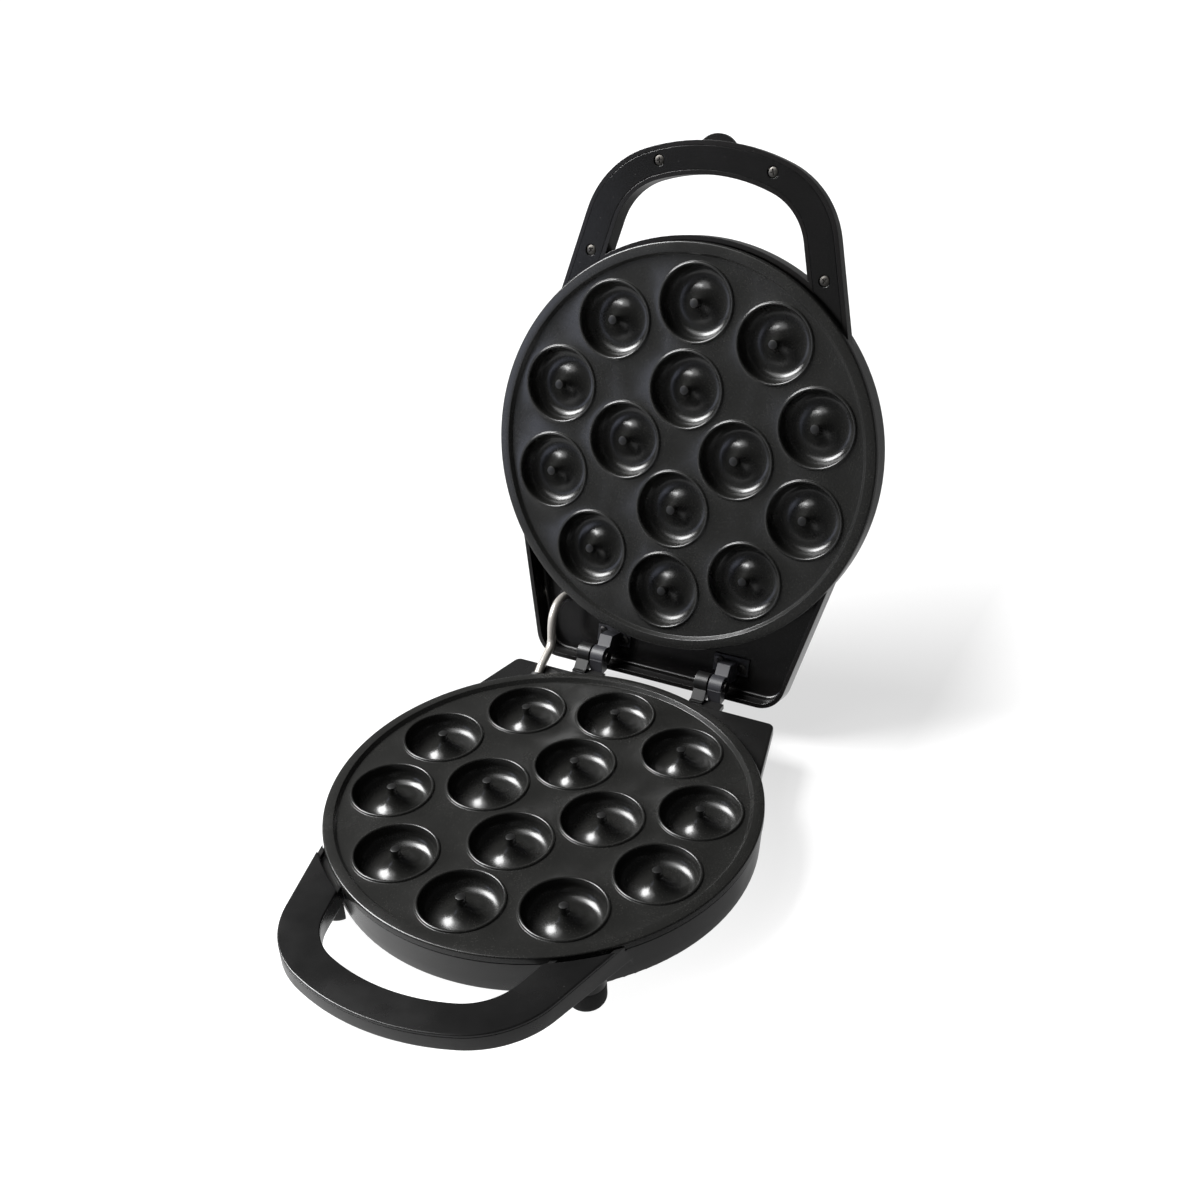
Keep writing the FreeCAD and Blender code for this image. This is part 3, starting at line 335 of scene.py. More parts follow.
@dataclass(frozen=True)
class PlainMetal(Finish):
    """Rolled, drawn or plated metal: a reflecting colour with fine drawing lines and stains."""

    colour: str
    stain_colour: str
    roughness: float
    smoother: float = 0.06
    rougher: float = 0.08
    line_mm: float = 0.6
    line_stretch: Tuple[float, float, float] = (0.06, 1.0, 1.0)
    line_depth_mm: float = 0.01
    line_band: Span = (0.3, 0.7)
    stain_mm: float = 9.0
    stain_band: Span = (0.42, 0.72)
    stain_share: float = 0.7

    def patterns(self, tree: bpy.types.NodeTree, place: bpy.types.NodeSocket) -> Dict[str, Any]:
        """Adds the metal's drawing lines and stains.

        Args:
            tree: Tree of the material.
            place: Coordinates on the piece.

        Returns:
            Inputs of the shader.
        """
        drawn = add_node(tree, "ShaderNodeMapping", inputs={"Vector": place, "Scale": self.line_stretch})
        lines = add_node(tree, "ShaderNodeTexNoise", inputs={
            "Vector": drawn.outputs[0], "Scale": per_metre(self.line_mm), "Detail": 2.0})
        stains = add_node(tree, "ShaderNodeTexNoise", inputs={
            "Vector": place, "Scale": per_metre(self.stain_mm), "Detail": 4.0})
        share = add_node(tree, "ShaderNodeMapRange", inputs={
            "Value": stains.outputs["Fac"], "From Min": self.stain_band[0],
            "From Max": self.stain_band[1], "To Min": 0.0, "To Max": self.stain_share})
        colour = add_node(tree, "ShaderNodeMix", {"data_type": "RGBA"}, {
            0: share.outputs[0], 6: linear(self.colour), 7: linear(self.stain_colour)})
        gloss = add_node(tree, "ShaderNodeMapRange", inputs={
            "Value": lines.outputs["Fac"], "From Min": self.line_band[0],
            "From Max": self.line_band[1], "To Min": self.roughness - self.smoother,
            "To Max": self.roughness + self.rougher})
        bump = add_node(tree, "ShaderNodeBump", inputs={
            "Strength": 0.35, "Distance": self.line_depth_mm * MM, "Height": lines.outputs["Fac"]})
        return {"Base Color": colour.outputs[2], "Roughness": gloss.outputs[0],
                "Normal": bump.outputs[0], "Metallic": 1.0}


@dataclass(frozen=True)
class DullMoulding(Finish):
    """Moulded rubber or silicone, or pressed and glazed steatite: one colour with a dusty bloom."""

    colour: str
    bloom_colour: str
    roughness: float = 0.72
    grain_mm: float = 0.8
    grain_depth_mm: float = 0.02
    bloom_mm: float = 7.0
    bloom_band: Span = (0.45, 0.8)
    bloom_share: float = 0.6

    def patterns(self, tree: bpy.types.NodeTree, place: bpy.types.NodeSocket) -> Dict[str, Any]:
        """Adds the surface's grain and its bloom.

        Args:
            tree: Tree of the material.
            place: Coordinates on the piece.

        Returns:
            Inputs of the shader.
        """
        grain = add_node(tree, "ShaderNodeTexNoise", inputs={
            "Vector": place, "Scale": per_metre(self.grain_mm), "Detail": 3.0})
        bloom = add_node(tree, "ShaderNodeTexNoise", inputs={
            "Vector": place, "Scale": per_metre(self.bloom_mm), "Detail": 4.0})
        share = add_node(tree, "ShaderNodeMapRange", inputs={
            "Value": bloom.outputs["Fac"], "From Min": self.bloom_band[0],
            "From Max": self.bloom_band[1], "To Min": 0.0, "To Max": self.bloom_share})
        colour = add_node(tree, "ShaderNodeMix", {"data_type": "RGBA"}, {
            0: share.outputs[0], 6: linear(self.colour), 7: linear(self.bloom_colour)})
        bump = add_node(tree, "ShaderNodeBump", inputs={
            "Strength": 0.4, "Distance": self.grain_depth_mm * MM, "Height": grain.outputs["Fac"]})
        return {"Base Color": colour.outputs[2], "Roughness": self.roughness,
                "Normal": bump.outputs[0], "IOR": 1.5}


@dataclass(frozen=True)
class WovenSleeve(Finish):
    """Coated glass-fibre sleeving: silver grey, with a fine braid that follows the tube's UV map.

    90 strands along its 65 mm and 14 round it are about 0.7 and 1.1 mm apart. The real ones are
    finer; they are drawn coarser so that they show in the render.
    """

    coordinates: ClassVar[str] = "UV"
    colour: str
    gap_colour: str
    roughness: float = 0.34
    strands_round: float = 14.0
    strands_along: float = 90.0
    gap_band: Span = (0.1, 0.42)
    braid_depth_mm: float = 0.06
    coat_metallic: float = 0.55

    def patterns(self, tree: bpy.types.NodeTree, place: bpy.types.NodeSocket) -> Dict[str, Any]:
        """Adds the braid, as two sets of strands laid crosswise.

        Args:
            tree: Tree of the material.
            place: Coordinates along and round the tube.

        Returns:
            Inputs of the shader.
        """
        heights = []
        for turn in (1.0, -1.0):
            laid = add_node(tree, "ShaderNodeVectorMath", {"operation": "DOT_PRODUCT"}, {
                0: place, 1: (self.strands_along, turn * self.strands_round, 0.0)})
            wave = add_node(tree, "ShaderNodeMath", {"operation": "PINGPONG"}, {
                0: laid.outputs["Value"], 1: 0.5})
            heights.append(wave.outputs[0])
        weave = add_node(tree, "ShaderNodeMath", {"operation": "MAXIMUM"}, {0: heights[0], 1: heights[1]})
        tone = add_node(tree, "ShaderNodeMapRange", inputs={
            "Value": weave.outputs[0], "From Min": self.gap_band[0], "From Max": self.gap_band[1],
            "To Min": 0.0, "To Max": 1.0})
        colour = add_node(tree, "ShaderNodeMix", {"data_type": "RGBA"}, {
            0: tone.outputs[0], 6: linear(self.gap_colour), 7: linear(self.colour)})
        bump = add_node(tree, "ShaderNodeBump", inputs={
            "Strength": 0.45, "Distance": self.braid_depth_mm * MM, "Height": weave.outputs[0]})
        return {"Base Color": colour.outputs[2], "Roughness": self.roughness,
                "Normal": bump.outputs[0], "Metallic": self.coat_metallic}


@dataclass(frozen=True)
class TintedLens(Finish):
    """Clear tinted polycarbonate or lamp glass: a deep, slightly cloudy colour with a high gloss."""

    colour: str
    deep_colour: str
    cloud_mm: float = 2.5

    def patterns(self, tree: bpy.types.NodeTree, place: bpy.types.NodeSocket) -> Dict[str, Any]:
        """Adds the colour's clouds.

        Args:
            tree: Tree of the material.
            place: Coordinates on the piece.

        Returns:
            Inputs of the shader.
        """
        depth = add_node(tree, "ShaderNodeTexNoise", inputs={
            "Vector": place, "Scale": per_metre(self.cloud_mm), "Detail": 2.0})
        colour = add_node(tree, "ShaderNodeMix", {"data_type": "RGBA"}, {
            0: depth.outputs["Fac"], 6: linear(self.colour), 7: linear(self.deep_colour)})
        return {"Base Color": colour.outputs[2], "Roughness": 0.08, "IOR": 1.58,
                "Transmission Weight": 0.25, "Coat Weight": 0.4, "Coat Roughness": 0.04}


SATIN_ABS = MouldedPlastic("satin black ABS", "#121212", "#191817", 0.3)
GRIP_ABS = MouldedPlastic("grip cover ABS", "#090909", "#0e0d0d", 0.26, grain_mm=0.45)
LID_GRIP_ABS = MouldedPlastic("polished grip cover ABS", "#080808", "#0d0c0c", 0.17, grain_mm=0.45,
                              roughness_spread=0.03)
GLOSS_ABS = MouldedPlastic("gloss black ABS", "#0c0b0b", "#121110", 0.2, grain_mm=0.6,
                           grain_depth_mm=0.004, roughness_spread=0.03)
# Grey-black nylon, drawn lighter and bluer than the other black plastics: a painted highlight for the key
# light on the lid fingers' faces.
PAINTED_HIGHLIGHT_NYLON = MouldedPlastic("grey nylon lightened for a painted highlight", "#2a2a2d", "#333338", 0.42)
PTFE = NonstickCoat("sprayed PTFE on cast aluminium", "#181817", "#403f3c", 0.25)
# Darker and rougher than the rest of the coat, on the pin tops only.
PIN_TOP_PTFE = NonstickCoat("darker PTFE on pin tops", "#0f0f0f", "#22211f", 0.36)
ZINC_SCREW = PlainMetal("dull zinc screw steel", "#504e4b", "#34322f", 0.42)
DARK_ZINC = PlainMetal("black zinc-plated steel", "#4a4948", "#2e2d2c", 0.36)
ELEMENT_TUBE = PlainMetal("heat-tinted stainless tube", "#7d756b", "#5a4f47", 0.38)
ALUMINISED = PlainMetal("aluminised sheet", "#bdbdbb", "#a3a19c", 0.32)
FOOT_RUBBER = DullMoulding("foot rubber", "#0b0b0b", "#141313")
BUSH_RUBBER = DullMoulding("bush rubber", "#121212", "#1b1a19", 0.6)
WIRE_SILICONE = DullMoulding("silicone wire insulation", "#c9c1ae", "#b3a88f", 0.5)
STEATITE = DullMoulding("glazed steatite", "#d8d0c0", "#c5b9a3", 0.35)
HEAT_SLEEVE = WovenSleeve("silver-grey glass sleeving", "#c4c0ba", "#7f7b75")
RED_LENS = TintedLens("red polycarbonate", "#a01410", "#5c0806")
GREEN_LENS = TintedLens("green polycarbonate", "#137a2a", "#074013")
LAMP_GLASS = TintedLens("lamp glass", "#d9d4ca", "#b8b0a2")


class Palette:
    """Builds each finish once and hands out its material."""

    def __init__(self) -> None:
        """Starts with no materials."""
        self._made: Dict[str, bpy.types.Material] = {}

    def get(self, finish: Finish) -> bpy.types.Material:
        """Material of a finish.

        Args:
            finish: One of the finishes above.

        Returns:
            Its material, made on first use.
        """
        if finish.name not in self._made:
            self._made[finish.name] = finish.build()
        return self._made[finish.name]

    def dress(self, obj: bpy.types.Object, finish: Finish) -> None:
        """Gives an object one finish all over."""
        obj.data.materials.clear()
        self.add(obj, finish)

    def add(self, obj: bpy.types.Object, finish: Finish) -> None:
        """Adds a finish to an object's list, for some of its faces."""
        obj.data.materials.append(self.get(finish))


# Modelling by hand


def only(obj: bpy.types.Object) -> None:
    """Selects one object and makes it active.

    Args:
        obj: Object to work on.
    """
    bpy.ops.object.select_all(action="DESELECT")
    obj.select_set(True)
    bpy.context.view_layer.objects.active = obj


def smooth(obj: bpy.types.Object, degrees: float = SHARP_DEGREES) -> None:
    """Shades an object smooth, except over edges sharper than an angle."""
    only(obj)
    bpy.ops.object.shade_smooth_by_angle(angle=math.radians(degrees))


def close_up(obj: bpy.types.Object, turn_outwards: bool = True) -> None:
    """Merges doubles, and points the faces outwards where a piece is new.

    Args:
        obj: Object to mend.
        turn_outwards: Whether its faces may still point inwards.
    """
    only(obj)
    bpy.ops.object.mode_set(mode="EDIT")
    bpy.ops.mesh.select_all(action="SELECT")
    bpy.ops.mesh.remove_doubles(threshold=DOUBLES_MM * MM)
    if turn_outwards:
        bpy.ops.mesh.normals_make_consistent(inside=False)
    bpy.ops.object.mode_set(mode="OBJECT")


def apply_place(obj: bpy.types.Object, place: Matrix) -> None:
    """Moves an object and puts its place into its mesh.

    Args:
        obj: Object to move.
        place: Where it goes, from its own place.
    """
    obj.matrix_world = place @ obj.matrix_world
    only(obj)
    bpy.ops.object.transform_apply(location=True, rotation=True, scale=True)


def reshape(obj: bpy.types.Object, other: bpy.types.Object, shaping: Shaping) -> None:
    """Adds or cuts another object into one, and removes the other.

    Args:
        obj: Object that changes.
        other: Object that is added or cut away.
        shaping: What the other object does.
    """
    only(obj)
    change = obj.modifiers.new("change", "BOOLEAN")
    change.object = other
    change.operation = shaping.value
    change.solver = "EXACT"
    bpy.ops.object.modifier_apply(modifier=change.name)
    bpy.data.objects.remove(other)


def lathe(name: str, outline: Sequence[Point], steps: int) -> bpy.types.Object:
    """Turns an outline about Z, as on a lathe.

    Args:
        name: Name of the piece.
        outline: Points (radius, height) in millimetres along the outline.
        steps: Steps of the full turn.

    Returns:
        The turned object, merged, with its faces outwards.
    """
    bpy.ops.object.select_all(action="DESELECT")
    bpy.ops.mesh.primitive_plane_add(size=MM)
    obj = bpy.context.object
    obj.name = name
    bpy.ops.object.mode_set(mode="EDIT")
    bpy.ops.mesh.merge(type="CENTER")
    here = Vector((0.0, 0.0, 0.0))
    for index, (radius, height) in enumerate(outline):
        there = Vector((radius, 0.0, height)) * MM
        if index == 0:
            bpy.ops.transform.translate(value=there - here)
        else:
            bpy.ops.mesh.extrude_vertices_move(TRANSFORM_OT_translate={"value": there - here})
        here = there
    bpy.ops.mesh.select_all(action="SELECT")
    bpy.ops.mesh.spin(steps=steps, angle=2 * math.pi, center=(0, 0, 0), axis=(0, 0, 1))
    bpy.ops.object.mode_set(mode="OBJECT")
    close_up(obj)
    return obj


def arc(centre: Point, radius: float, start: float, end: float, count: int) -> List[Point]:
    """Points of an arc in an outline.

    Args:
        centre: Centre of the arc in millimetres.
        radius: Radius in millimetres.
        start: First angle in degrees, from +radius towards +height.
        end: Last angle in degrees.
        count: Number of steps.

    Returns:
        Points from start to end.
    """
    angles = [math.radians(start + (end - start) * i / count) for i in range(count + 1)]
    return [(centre[0] + radius * math.cos(a), centre[1] + radius * math.sin(a)) for a in angles]


def copied(obj: bpy.types.Object, place: Matrix) -> bpy.types.Object:
    """Copies an object with its own mesh.

    Args:
        obj: Object to copy.
        place: Where the copy goes, from the object's own place.

    Returns:
        The placed copy.
    """
    twin = obj.copy()
    twin.data = obj.data.copy()
    bpy.context.scene.collection.objects.link(twin)
    apply_place(twin, place)
    return twin


def join(objects: Sequence[bpy.types.Object], name: str) -> bpy.types.Object:
    """Joins objects into the first one.

    Args:
        objects: Objects to join.
        name: Name of the joined piece.

    Returns:
        The joined object.
    """
    bpy.ops.object.select_all(action="DESELECT")
    for obj in objects:
        obj.select_set(True)
    bpy.context.view_layer.objects.active = objects[0]
    if len(objects) > 1:
        bpy.ops.object.join()
    objects[0].name = name
    objects[0].data.name = name
    return objects[0]


@dataclass
class Workshop:
    """What every sub-assembly needs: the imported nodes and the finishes."""

    nodes: Dict[str, bpy.types.Object]
    palette: Palette

    def settle(self, piece: bpy.types.Object, body: Body, finish: Finish, slot: str,
               replaced: Iterable[str]) -> bpy.types.Object:
        """Finishes a new piece and hangs it on its body.

        Args:
            piece: Object at its place.
            body: Body that it rides on.
            finish: Finish all over it.
            slot: Record's material slot; not used.
            replaced: Solids that it stands for.

        Returns:
            The piece.
        """
        self.palette.dress(piece, finish)
        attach(piece, body.value)
        for node in replaced:
            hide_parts(node)
        LOG.info("%s rides on %s, %d faces", piece.name, body.value, len(piece.data.polygons))
        return piece

    def fine_copy(self, node: str, name: str) -> bpy.types.Object:
        """Merged, smooth-shaded copy of a solid.

        Args:
            node: Solid to copy.
            name: Name of the copy.

        Returns:
            The copy, not yet on a body.
        """
        piece = bpy.data.objects.new(name, self.nodes[node].data.copy())
        bpy.context.scene.collection.objects.link(piece)
        only(piece)
        if piece.data.has_custom_normals:
            bpy.ops.mesh.customdata_custom_splitnormals_clear()
        close_up(piece, turn_outwards=False)
        smooth(piece)
        return piece


@dataclass
class HotPlate:
    """Cast cooking plate with ring cavities, drawn with its face down, in millimetres."""

    shop: Workshop
    plate_r: float = 110.5
    rim_inner_r: float = 105.0
    rim_face: float = 0.8
    rim_back: float = 4.7
    rim_flank: float = 1.6
    rim_round: float = 0.35
    rim_fall: float = 0.35
    edge_round: float = 0.9
    back_slope: Span = (2.0, 1.0)
    field_face: float = 3.0
    field_back: float = 6.0
    outer_ring_r: float = 79.0
    outer_count: int = 10
    inner_ring_r: float = 32.9
    inner_count: int = 4
    cavity_r: float = 20.0
    core_r: float = 2.5
    groove_middle_r: float = 14.0
    groove_floor: float = 11.95
    groove_outer_round: float = 6.0
    groove_core_round: float = 12.5
    lip_rise: float = 1.0
    lip_r: float = 0.85
    lip_fillet: float = 0.35
    cup_r: float = 22.2
    cup_back: float = 13.6
    cup_round: float = 4.0
    pin_r: float = 2.45
    pin_top: float = 0.4
    pin_round: float = 0.2
    pin_round_inset: float = 0.06
    pin_foot: float = 0.3
    # Height band above the pin tops whose faces take the darker, rougher coat.
    pin_top_band: float = 0.05
    core_steps: int = 16
    wall_steps: int = 12
    bead_steps: int = 10
    fillet_steps: int = 3
    rim_steps: int = 4
    edge_steps: int = 5
    cavity_turns: int = 72
    rim_turns: int = 144
    sharp_degrees: float = 38.0

    def spots(self) -> List[Point]:
        """Lays out the cavities in two rings.

        Returns:
            Centres of all cavities.
        """
        rings = ((self.outer_ring_r, self.outer_count, 0.5), (self.inner_ring_r, self.inner_count, 0.0))
        angles = [(r, 2 * math.pi / n * (k + offset)) for r, n, offset in rings for k in range(n)]
        return [(r * math.cos(a), r * math.sin(a)) for r, a in angles]

    def cavity_outline(self) -> List[Point]:
        """Outlines the face side of a cavity.

        Returns:
            Points from the pin's top out over the rounded lip.
        """
        reach = (self.core_r - self.groove_middle_r) / self.groove_core_round
        core = arc((self.groove_middle_r, self.groove_floor - self.groove_core_round),
                   self.groove_core_round, math.degrees(math.acos(reach)), 90, self.core_steps)
        wall = arc((self.groove_middle_r, self.groove_floor - self.groove_outer_round),
                   self.groove_outer_round, 90, 0, self.wall_steps)
        top, bend, inset = self.pin_top, self.pin_round, self.pin_round_inset
        pin = [(0.0, top), (self.pin_r - bend, top), (self.pin_r - inset, top + inset),
               (self.pin_r, top + bend), (self.pin_r, core[0][1] - self.pin_foot)]
        return pin + core + wall[1:] + self.lip_outline()

    def lip_outline(self) -> List[Point]:
        """Outlines the raised half-round bead round a cavity.

        Returns:
            Points from the cavity over the bead and a small fillet to the field.
        """
        crest = self.field_face - self.lip_rise
        middle = (self.cavity_r + self.lip_r, crest + self.lip_r)
        fall = self.lip_rise - self.lip_r - self.lip_fillet
        meet = math.asin(-fall / (self.lip_r + self.lip_fillet))
        foot_x = middle[0] + (self.lip_r + self.lip_fillet) * math.cos(meet)
        bead = arc(middle, self.lip_r, 180, 360 - math.degrees(meet), self.bead_steps)
        foot = arc((foot_x, self.field_face - self.lip_fillet), self.lip_fillet,
                   180 - math.degrees(meet), 90, self.fillet_steps)
        return bead + foot

    def rim_outline(self) -> List[Point]:
        """Outlines the rim.

        Returns:
            Points from the field over the rounded step and edge to the plate's back.
        """
        step, bend, edge_r = self.rim_inner_r, self.rim_round, self.edge_round
        slope = math.degrees(math.atan2(self.field_face - self.rim_face, self.rim_flank))
        reach = bend * math.tan(math.radians(slope / 2))
        foot = arc((step - self.rim_flank - reach, self.field_face - bend), bend, 90, 90 - slope,
                   self.rim_steps)
        brow = arc((step + reach, self.rim_face + bend), bend, 270 - slope, 270, self.rim_steps)
        edge = arc((self.plate_r - edge_r, self.rim_face + self.rim_fall + edge_r), edge_r, -90, 0,
                   self.edge_steps)
        back = [(self.plate_r, self.rim_back), (step + self.back_slope[0], self.rim_back),
                (step + self.back_slope[1], self.field_back)]
        return foot + brow + edge + back

    def cup_outline(self) -> List[Point]:
        """Outlines the back of a cavity.

        Returns:
            Points from the plate's back over the cup's round edge to its middle.
        """
        bend = self.cup_round
        edge = arc((self.cup_r - bend, self.cup_back - bend), bend, 0, 90, self.edge_steps)
        return [(self.cup_r, self.field_back)] + edge + [(0.0, self.cup_back)]

    def sheet(self, level: float, outer_r: float, hole_r: float) -> bpy.types.Object:
        """Flat sheet with a hole at every cavity, as one filled outline.

        Args:
            level: Height of the sheet.
            outer_r: Radius of its edge.
            hole_r: Radius of its holes.

        Returns:
            The sheet.
        """
        circles = [(0.0, 0.0, outer_r, self.rim_turns)]
        circles += [(x, y, hole_r, self.cavity_turns) for x, y in self.spots()]
        made = []
        for x, y, radius, turns in circles:
            bpy.ops.object.select_all(action="DESELECT")
            bpy.ops.mesh.primitive_circle_add(
                vertices=turns, radius=radius * MM, location=Vector((x, y, level)) * MM)
            made.append(bpy.context.object)
        piece = join(made, "sheet")
        only(piece)
        bpy.ops.object.transform_apply(location=True, rotation=True, scale=True)
        bpy.ops.object.mode_set(mode="EDIT")
        bpy.ops.mesh.select_all(action="SELECT")
        bpy.ops.mesh.fill(use_beauty=True)
        bpy.ops.object.mode_set(mode="OBJECT")
        return piece

    def build(self, half: Half, name: str, node: str) -> bpy.types.Object:
        """Models the plate and hangs it on its half.

        Args:
            half: Half that the plate belongs to.
            name: Name of the piece.
            node: Solid that it stands for.

        Returns:
            The plate.
        """
        rim = self.rim_outline()
        lip_r = self.lip_outline()[-1][0]
        parts = [lathe("rim", rim, self.rim_turns), self.sheet(self.field_face, rim[0][0], lip_r),
                 self.sheet(self.field_back, rim[-1][0], self.cup_r)]
        for outline in (self.cavity_outline(), self.cup_outline()):
            first = lathe("cavity", outline, self.cavity_turns)
            for x, y in self.spots():
                parts.append(copied(first, Matrix.Translation(Vector((x, y, 0.0)) * MM)))
            bpy.data.objects.remove(first)
        plate = join(parts, name)
        close_up(plate)
        smooth(plate, self.sharp_degrees)
        # Faces at the pin tops take the second, darker and rougher coat.
        pin_top_limit = (self.pin_top + self.pin_top_band) * MM
        pin_faces = [f.index for f in plate.data.polygons if f.center.z < pin_top_limit]
        apply_place(plate, half.place())
        self.shop.settle(plate, half.value, PTFE, "nonstick", [node])
        self.shop.palette.add(plate, PIN_TOP_PTFE)
        for index in pin_faces:
            plate.data.polygons[index].material_index = 1
        return plate


@dataclass
class Housing:
    """Moulded shells of both halves, the faces let into their handles and the lid's hinge fingers."""

    shop: Workshop

    def build(self) -> List[bpy.types.Object]:
        """Makes fine copies of every outer moulding.

        Returns:
            The pieces.
        """
        rows = (
            ("base_housing", "base_shell", Body.BASE, SATIN_ABS),
            ("base_handle_cover", "base_grip_face", Body.BASE, GRIP_ABS),
            ("bottom_cover", "base_floor", Body.BASE, SATIN_ABS),
            ("lid_housing", "lid_shell", Body.LID, GLOSS_ABS),
            ("lid_handle_cover", "lid_grip_face", Body.LID, LID_GRIP_ABS),
            ("lid_top_panel", "lid_crown_panel", Body.LID, GLOSS_ABS),
            # The lid fingers' lighter grey is partly a painted highlight.
            ("lid_finger_left", "lid_knuckle_left", Body.LID, PAINTED_HIGHLIGHT_NYLON),
            ("lid_finger_right", "lid_knuckle_right", Body.LID, PAINTED_HIGHLIGHT_NYLON),
        )
        made = []
        for node, name, body, finish in rows:
            piece = self.shop.fine_copy(node, name)
            made.append(self.shop.settle(piece, body, finish, "black_plastic", [node]))
        return made


@dataclass
class Fasteners:
    """Cross-head screws that show from outside, in millimetres of a half's drawing."""

    shop: Workshop
    head_r: float = 2.8
    head_high: float = 1.1
    head_foot: float = 0.2
    head_round: float = 0.55
    head_round_level: float = 0.45
    head_round_degrees: float = 62.0
    head_round_steps: int = 4
    head_flat_share: float = 0.45
    shank_r: float = 1.4
    tip_share: float = 0.5
    tip_long: float = 0.8
    cross_reach: float = 1.55
    cross_width: float = 0.62
    cross_deep: float = 0.75
    turns: int = 32
    sharp_degrees: float = 35.0
    first_turn: float = 17.0
    next_turn: float = 41.0
    lid_spots: Tuple[Point, ...] = ((32.0, -149.0), (67.0, -98.6))
    lid_seat: float = 8.8
    lid_long: float = 7.0
    hinge_x: float = 36.5
    knuckle_aside: float = 4.3
    knuckle_spots: Tuple[Point, ...] = ((7.0, 117.0), (-7.0, 114.5))
    knuckle_seat: float = 15.2
    knuckle_long: float = 2.8
    grip_spots: Tuple[Point, ...] = ((30.0, -147.5), (65.5, -110.0))
    grip_front: float = -159.4
    grip_seat: float = 9.7
    grip_slope: float = 0.043
    grip_long: float = 5.0
    floor_angles: Tuple[float, ...] = (0, 50, 130, 180, 270)
    floor_ring_r: float = 98.5
    floor_seat: float = 25.0
    floor_long: float = 7.0

    def cross(self) -> bpy.types.Object:
        """Models the cutter for the cross in a head.

        Returns:
            The cutter at the head's top.
        """
        arms = []
        for across in ((self.cross_reach, self.cross_width / 2), (self.cross_width / 2, self.cross_reach)):
            bpy.ops.object.select_all(action="DESELECT")
            bpy.ops.mesh.primitive_cube_add(size=2 * MM, location=(0, 0, self.head_high * MM))
            bpy.ops.transform.resize(value=(across[0], across[1], self.cross_deep))
            bpy.ops.object.transform_apply(location=True, rotation=True, scale=True)
            arms.append(bpy.context.object)
        reshape(arms[0], arms[1], Shaping.ADD)
        return arms[0]

    def screw(self, length: float) -> bpy.types.Object:
        """Models one screw upright, with its seat at the origin.

        Args:
            length: Length of its shank.

        Returns:
            The screw.
        """
        shank = [(0.0, -length), (self.shank_r * self.tip_share, -length),
                 (self.shank_r, -length + self.tip_long), (self.shank_r, 0.0)]
        foot = [(self.head_r - self.head_foot, 0.0), (self.head_r, self.head_foot)]
        edge = arc((self.head_r - self.head_round, self.head_round_level), self.head_round,
                   0, self.head_round_degrees, self.head_round_steps)
        dome = [(self.head_r * self.head_flat_share, self.head_high), (0.0, self.head_high)]
        made = lathe("screw", shank + foot + edge + dome, self.turns)
        reshape(made, self.cross(), Shaping.CUT)
        smooth(made, self.sharp_degrees)
        return made

    def row(self, name: str, node: str, half: Half, spots: Sequence[Spot],
            length: float, towards_face: bool, finish: Finish) -> bpy.types.Object:
        """Places a row of screws and joins them.

        Args:
            name: Name of the piece.
            node: Solid that it stands for.
            half: Half that it belongs to.
            spots: Seats of the heads.
            length: Length of the shanks.
            towards_face: Whether the heads look to the closing plane.
            finish: Finish of the screws.

        Returns:
            The joined screws.
        """
        first = self.screw(length)
        made = []
        for index, spot in enumerate(spots):
            turn = Matrix.Rotation(math.radians(self.first_turn + self.next_turn * index), 4, "Z")
            flip = Matrix.Rotation(math.pi if towards_face else 0.0, 4, "X")
            made.append(copied(first, half.place() @ Matrix.Translation(Vector(spot) * MM) @ flip @ turn))
        bpy.data.objects.remove(first)
        return self.shop.settle(join(made, name), half.value, finish, "screw_steel", [node])

    def build(self) -> None:
        """Makes every row of screws that can be seen."""
        lid = [(side * x, y, self.lid_seat) for side in (1, -1) for x, y in self.lid_spots]
        self.row("lid_grip_screws", "lid_handle_screws", Half.UPPER, lid, self.lid_long, True, ZINC_SCREW)
        knuckle = [(hinge + self.knuckle_aside + x, y, self.knuckle_seat)
                   for hinge in (-self.hinge_x, self.hinge_x) for x, y in self.knuckle_spots]
        self.row("lid_knuckle_screws", "lid_finger_screws", Half.UPPER, knuckle, self.knuckle_long,
                 True, DARK_ZINC)
        grip = [(side * x, y, self.grip_seat + self.grip_slope * (y - self.grip_front))
                for side in (1, -1) for x, y in self.grip_spots]
        self.row("base_grip_screws", "base_handle_screws", Half.LOWER, grip, self.grip_long,
                 False, DARK_ZINC)
        angles = [math.radians(a) for a in self.floor_angles]
        ring = [(self.floor_ring_r * math.cos(a), self.floor_ring_r * math.sin(a), self.floor_seat)
                for a in angles]
        self.row("base_floor_screws", "bottom_cover_screws", Half.LOWER, ring, self.floor_long,
                 False, DARK_ZINC)


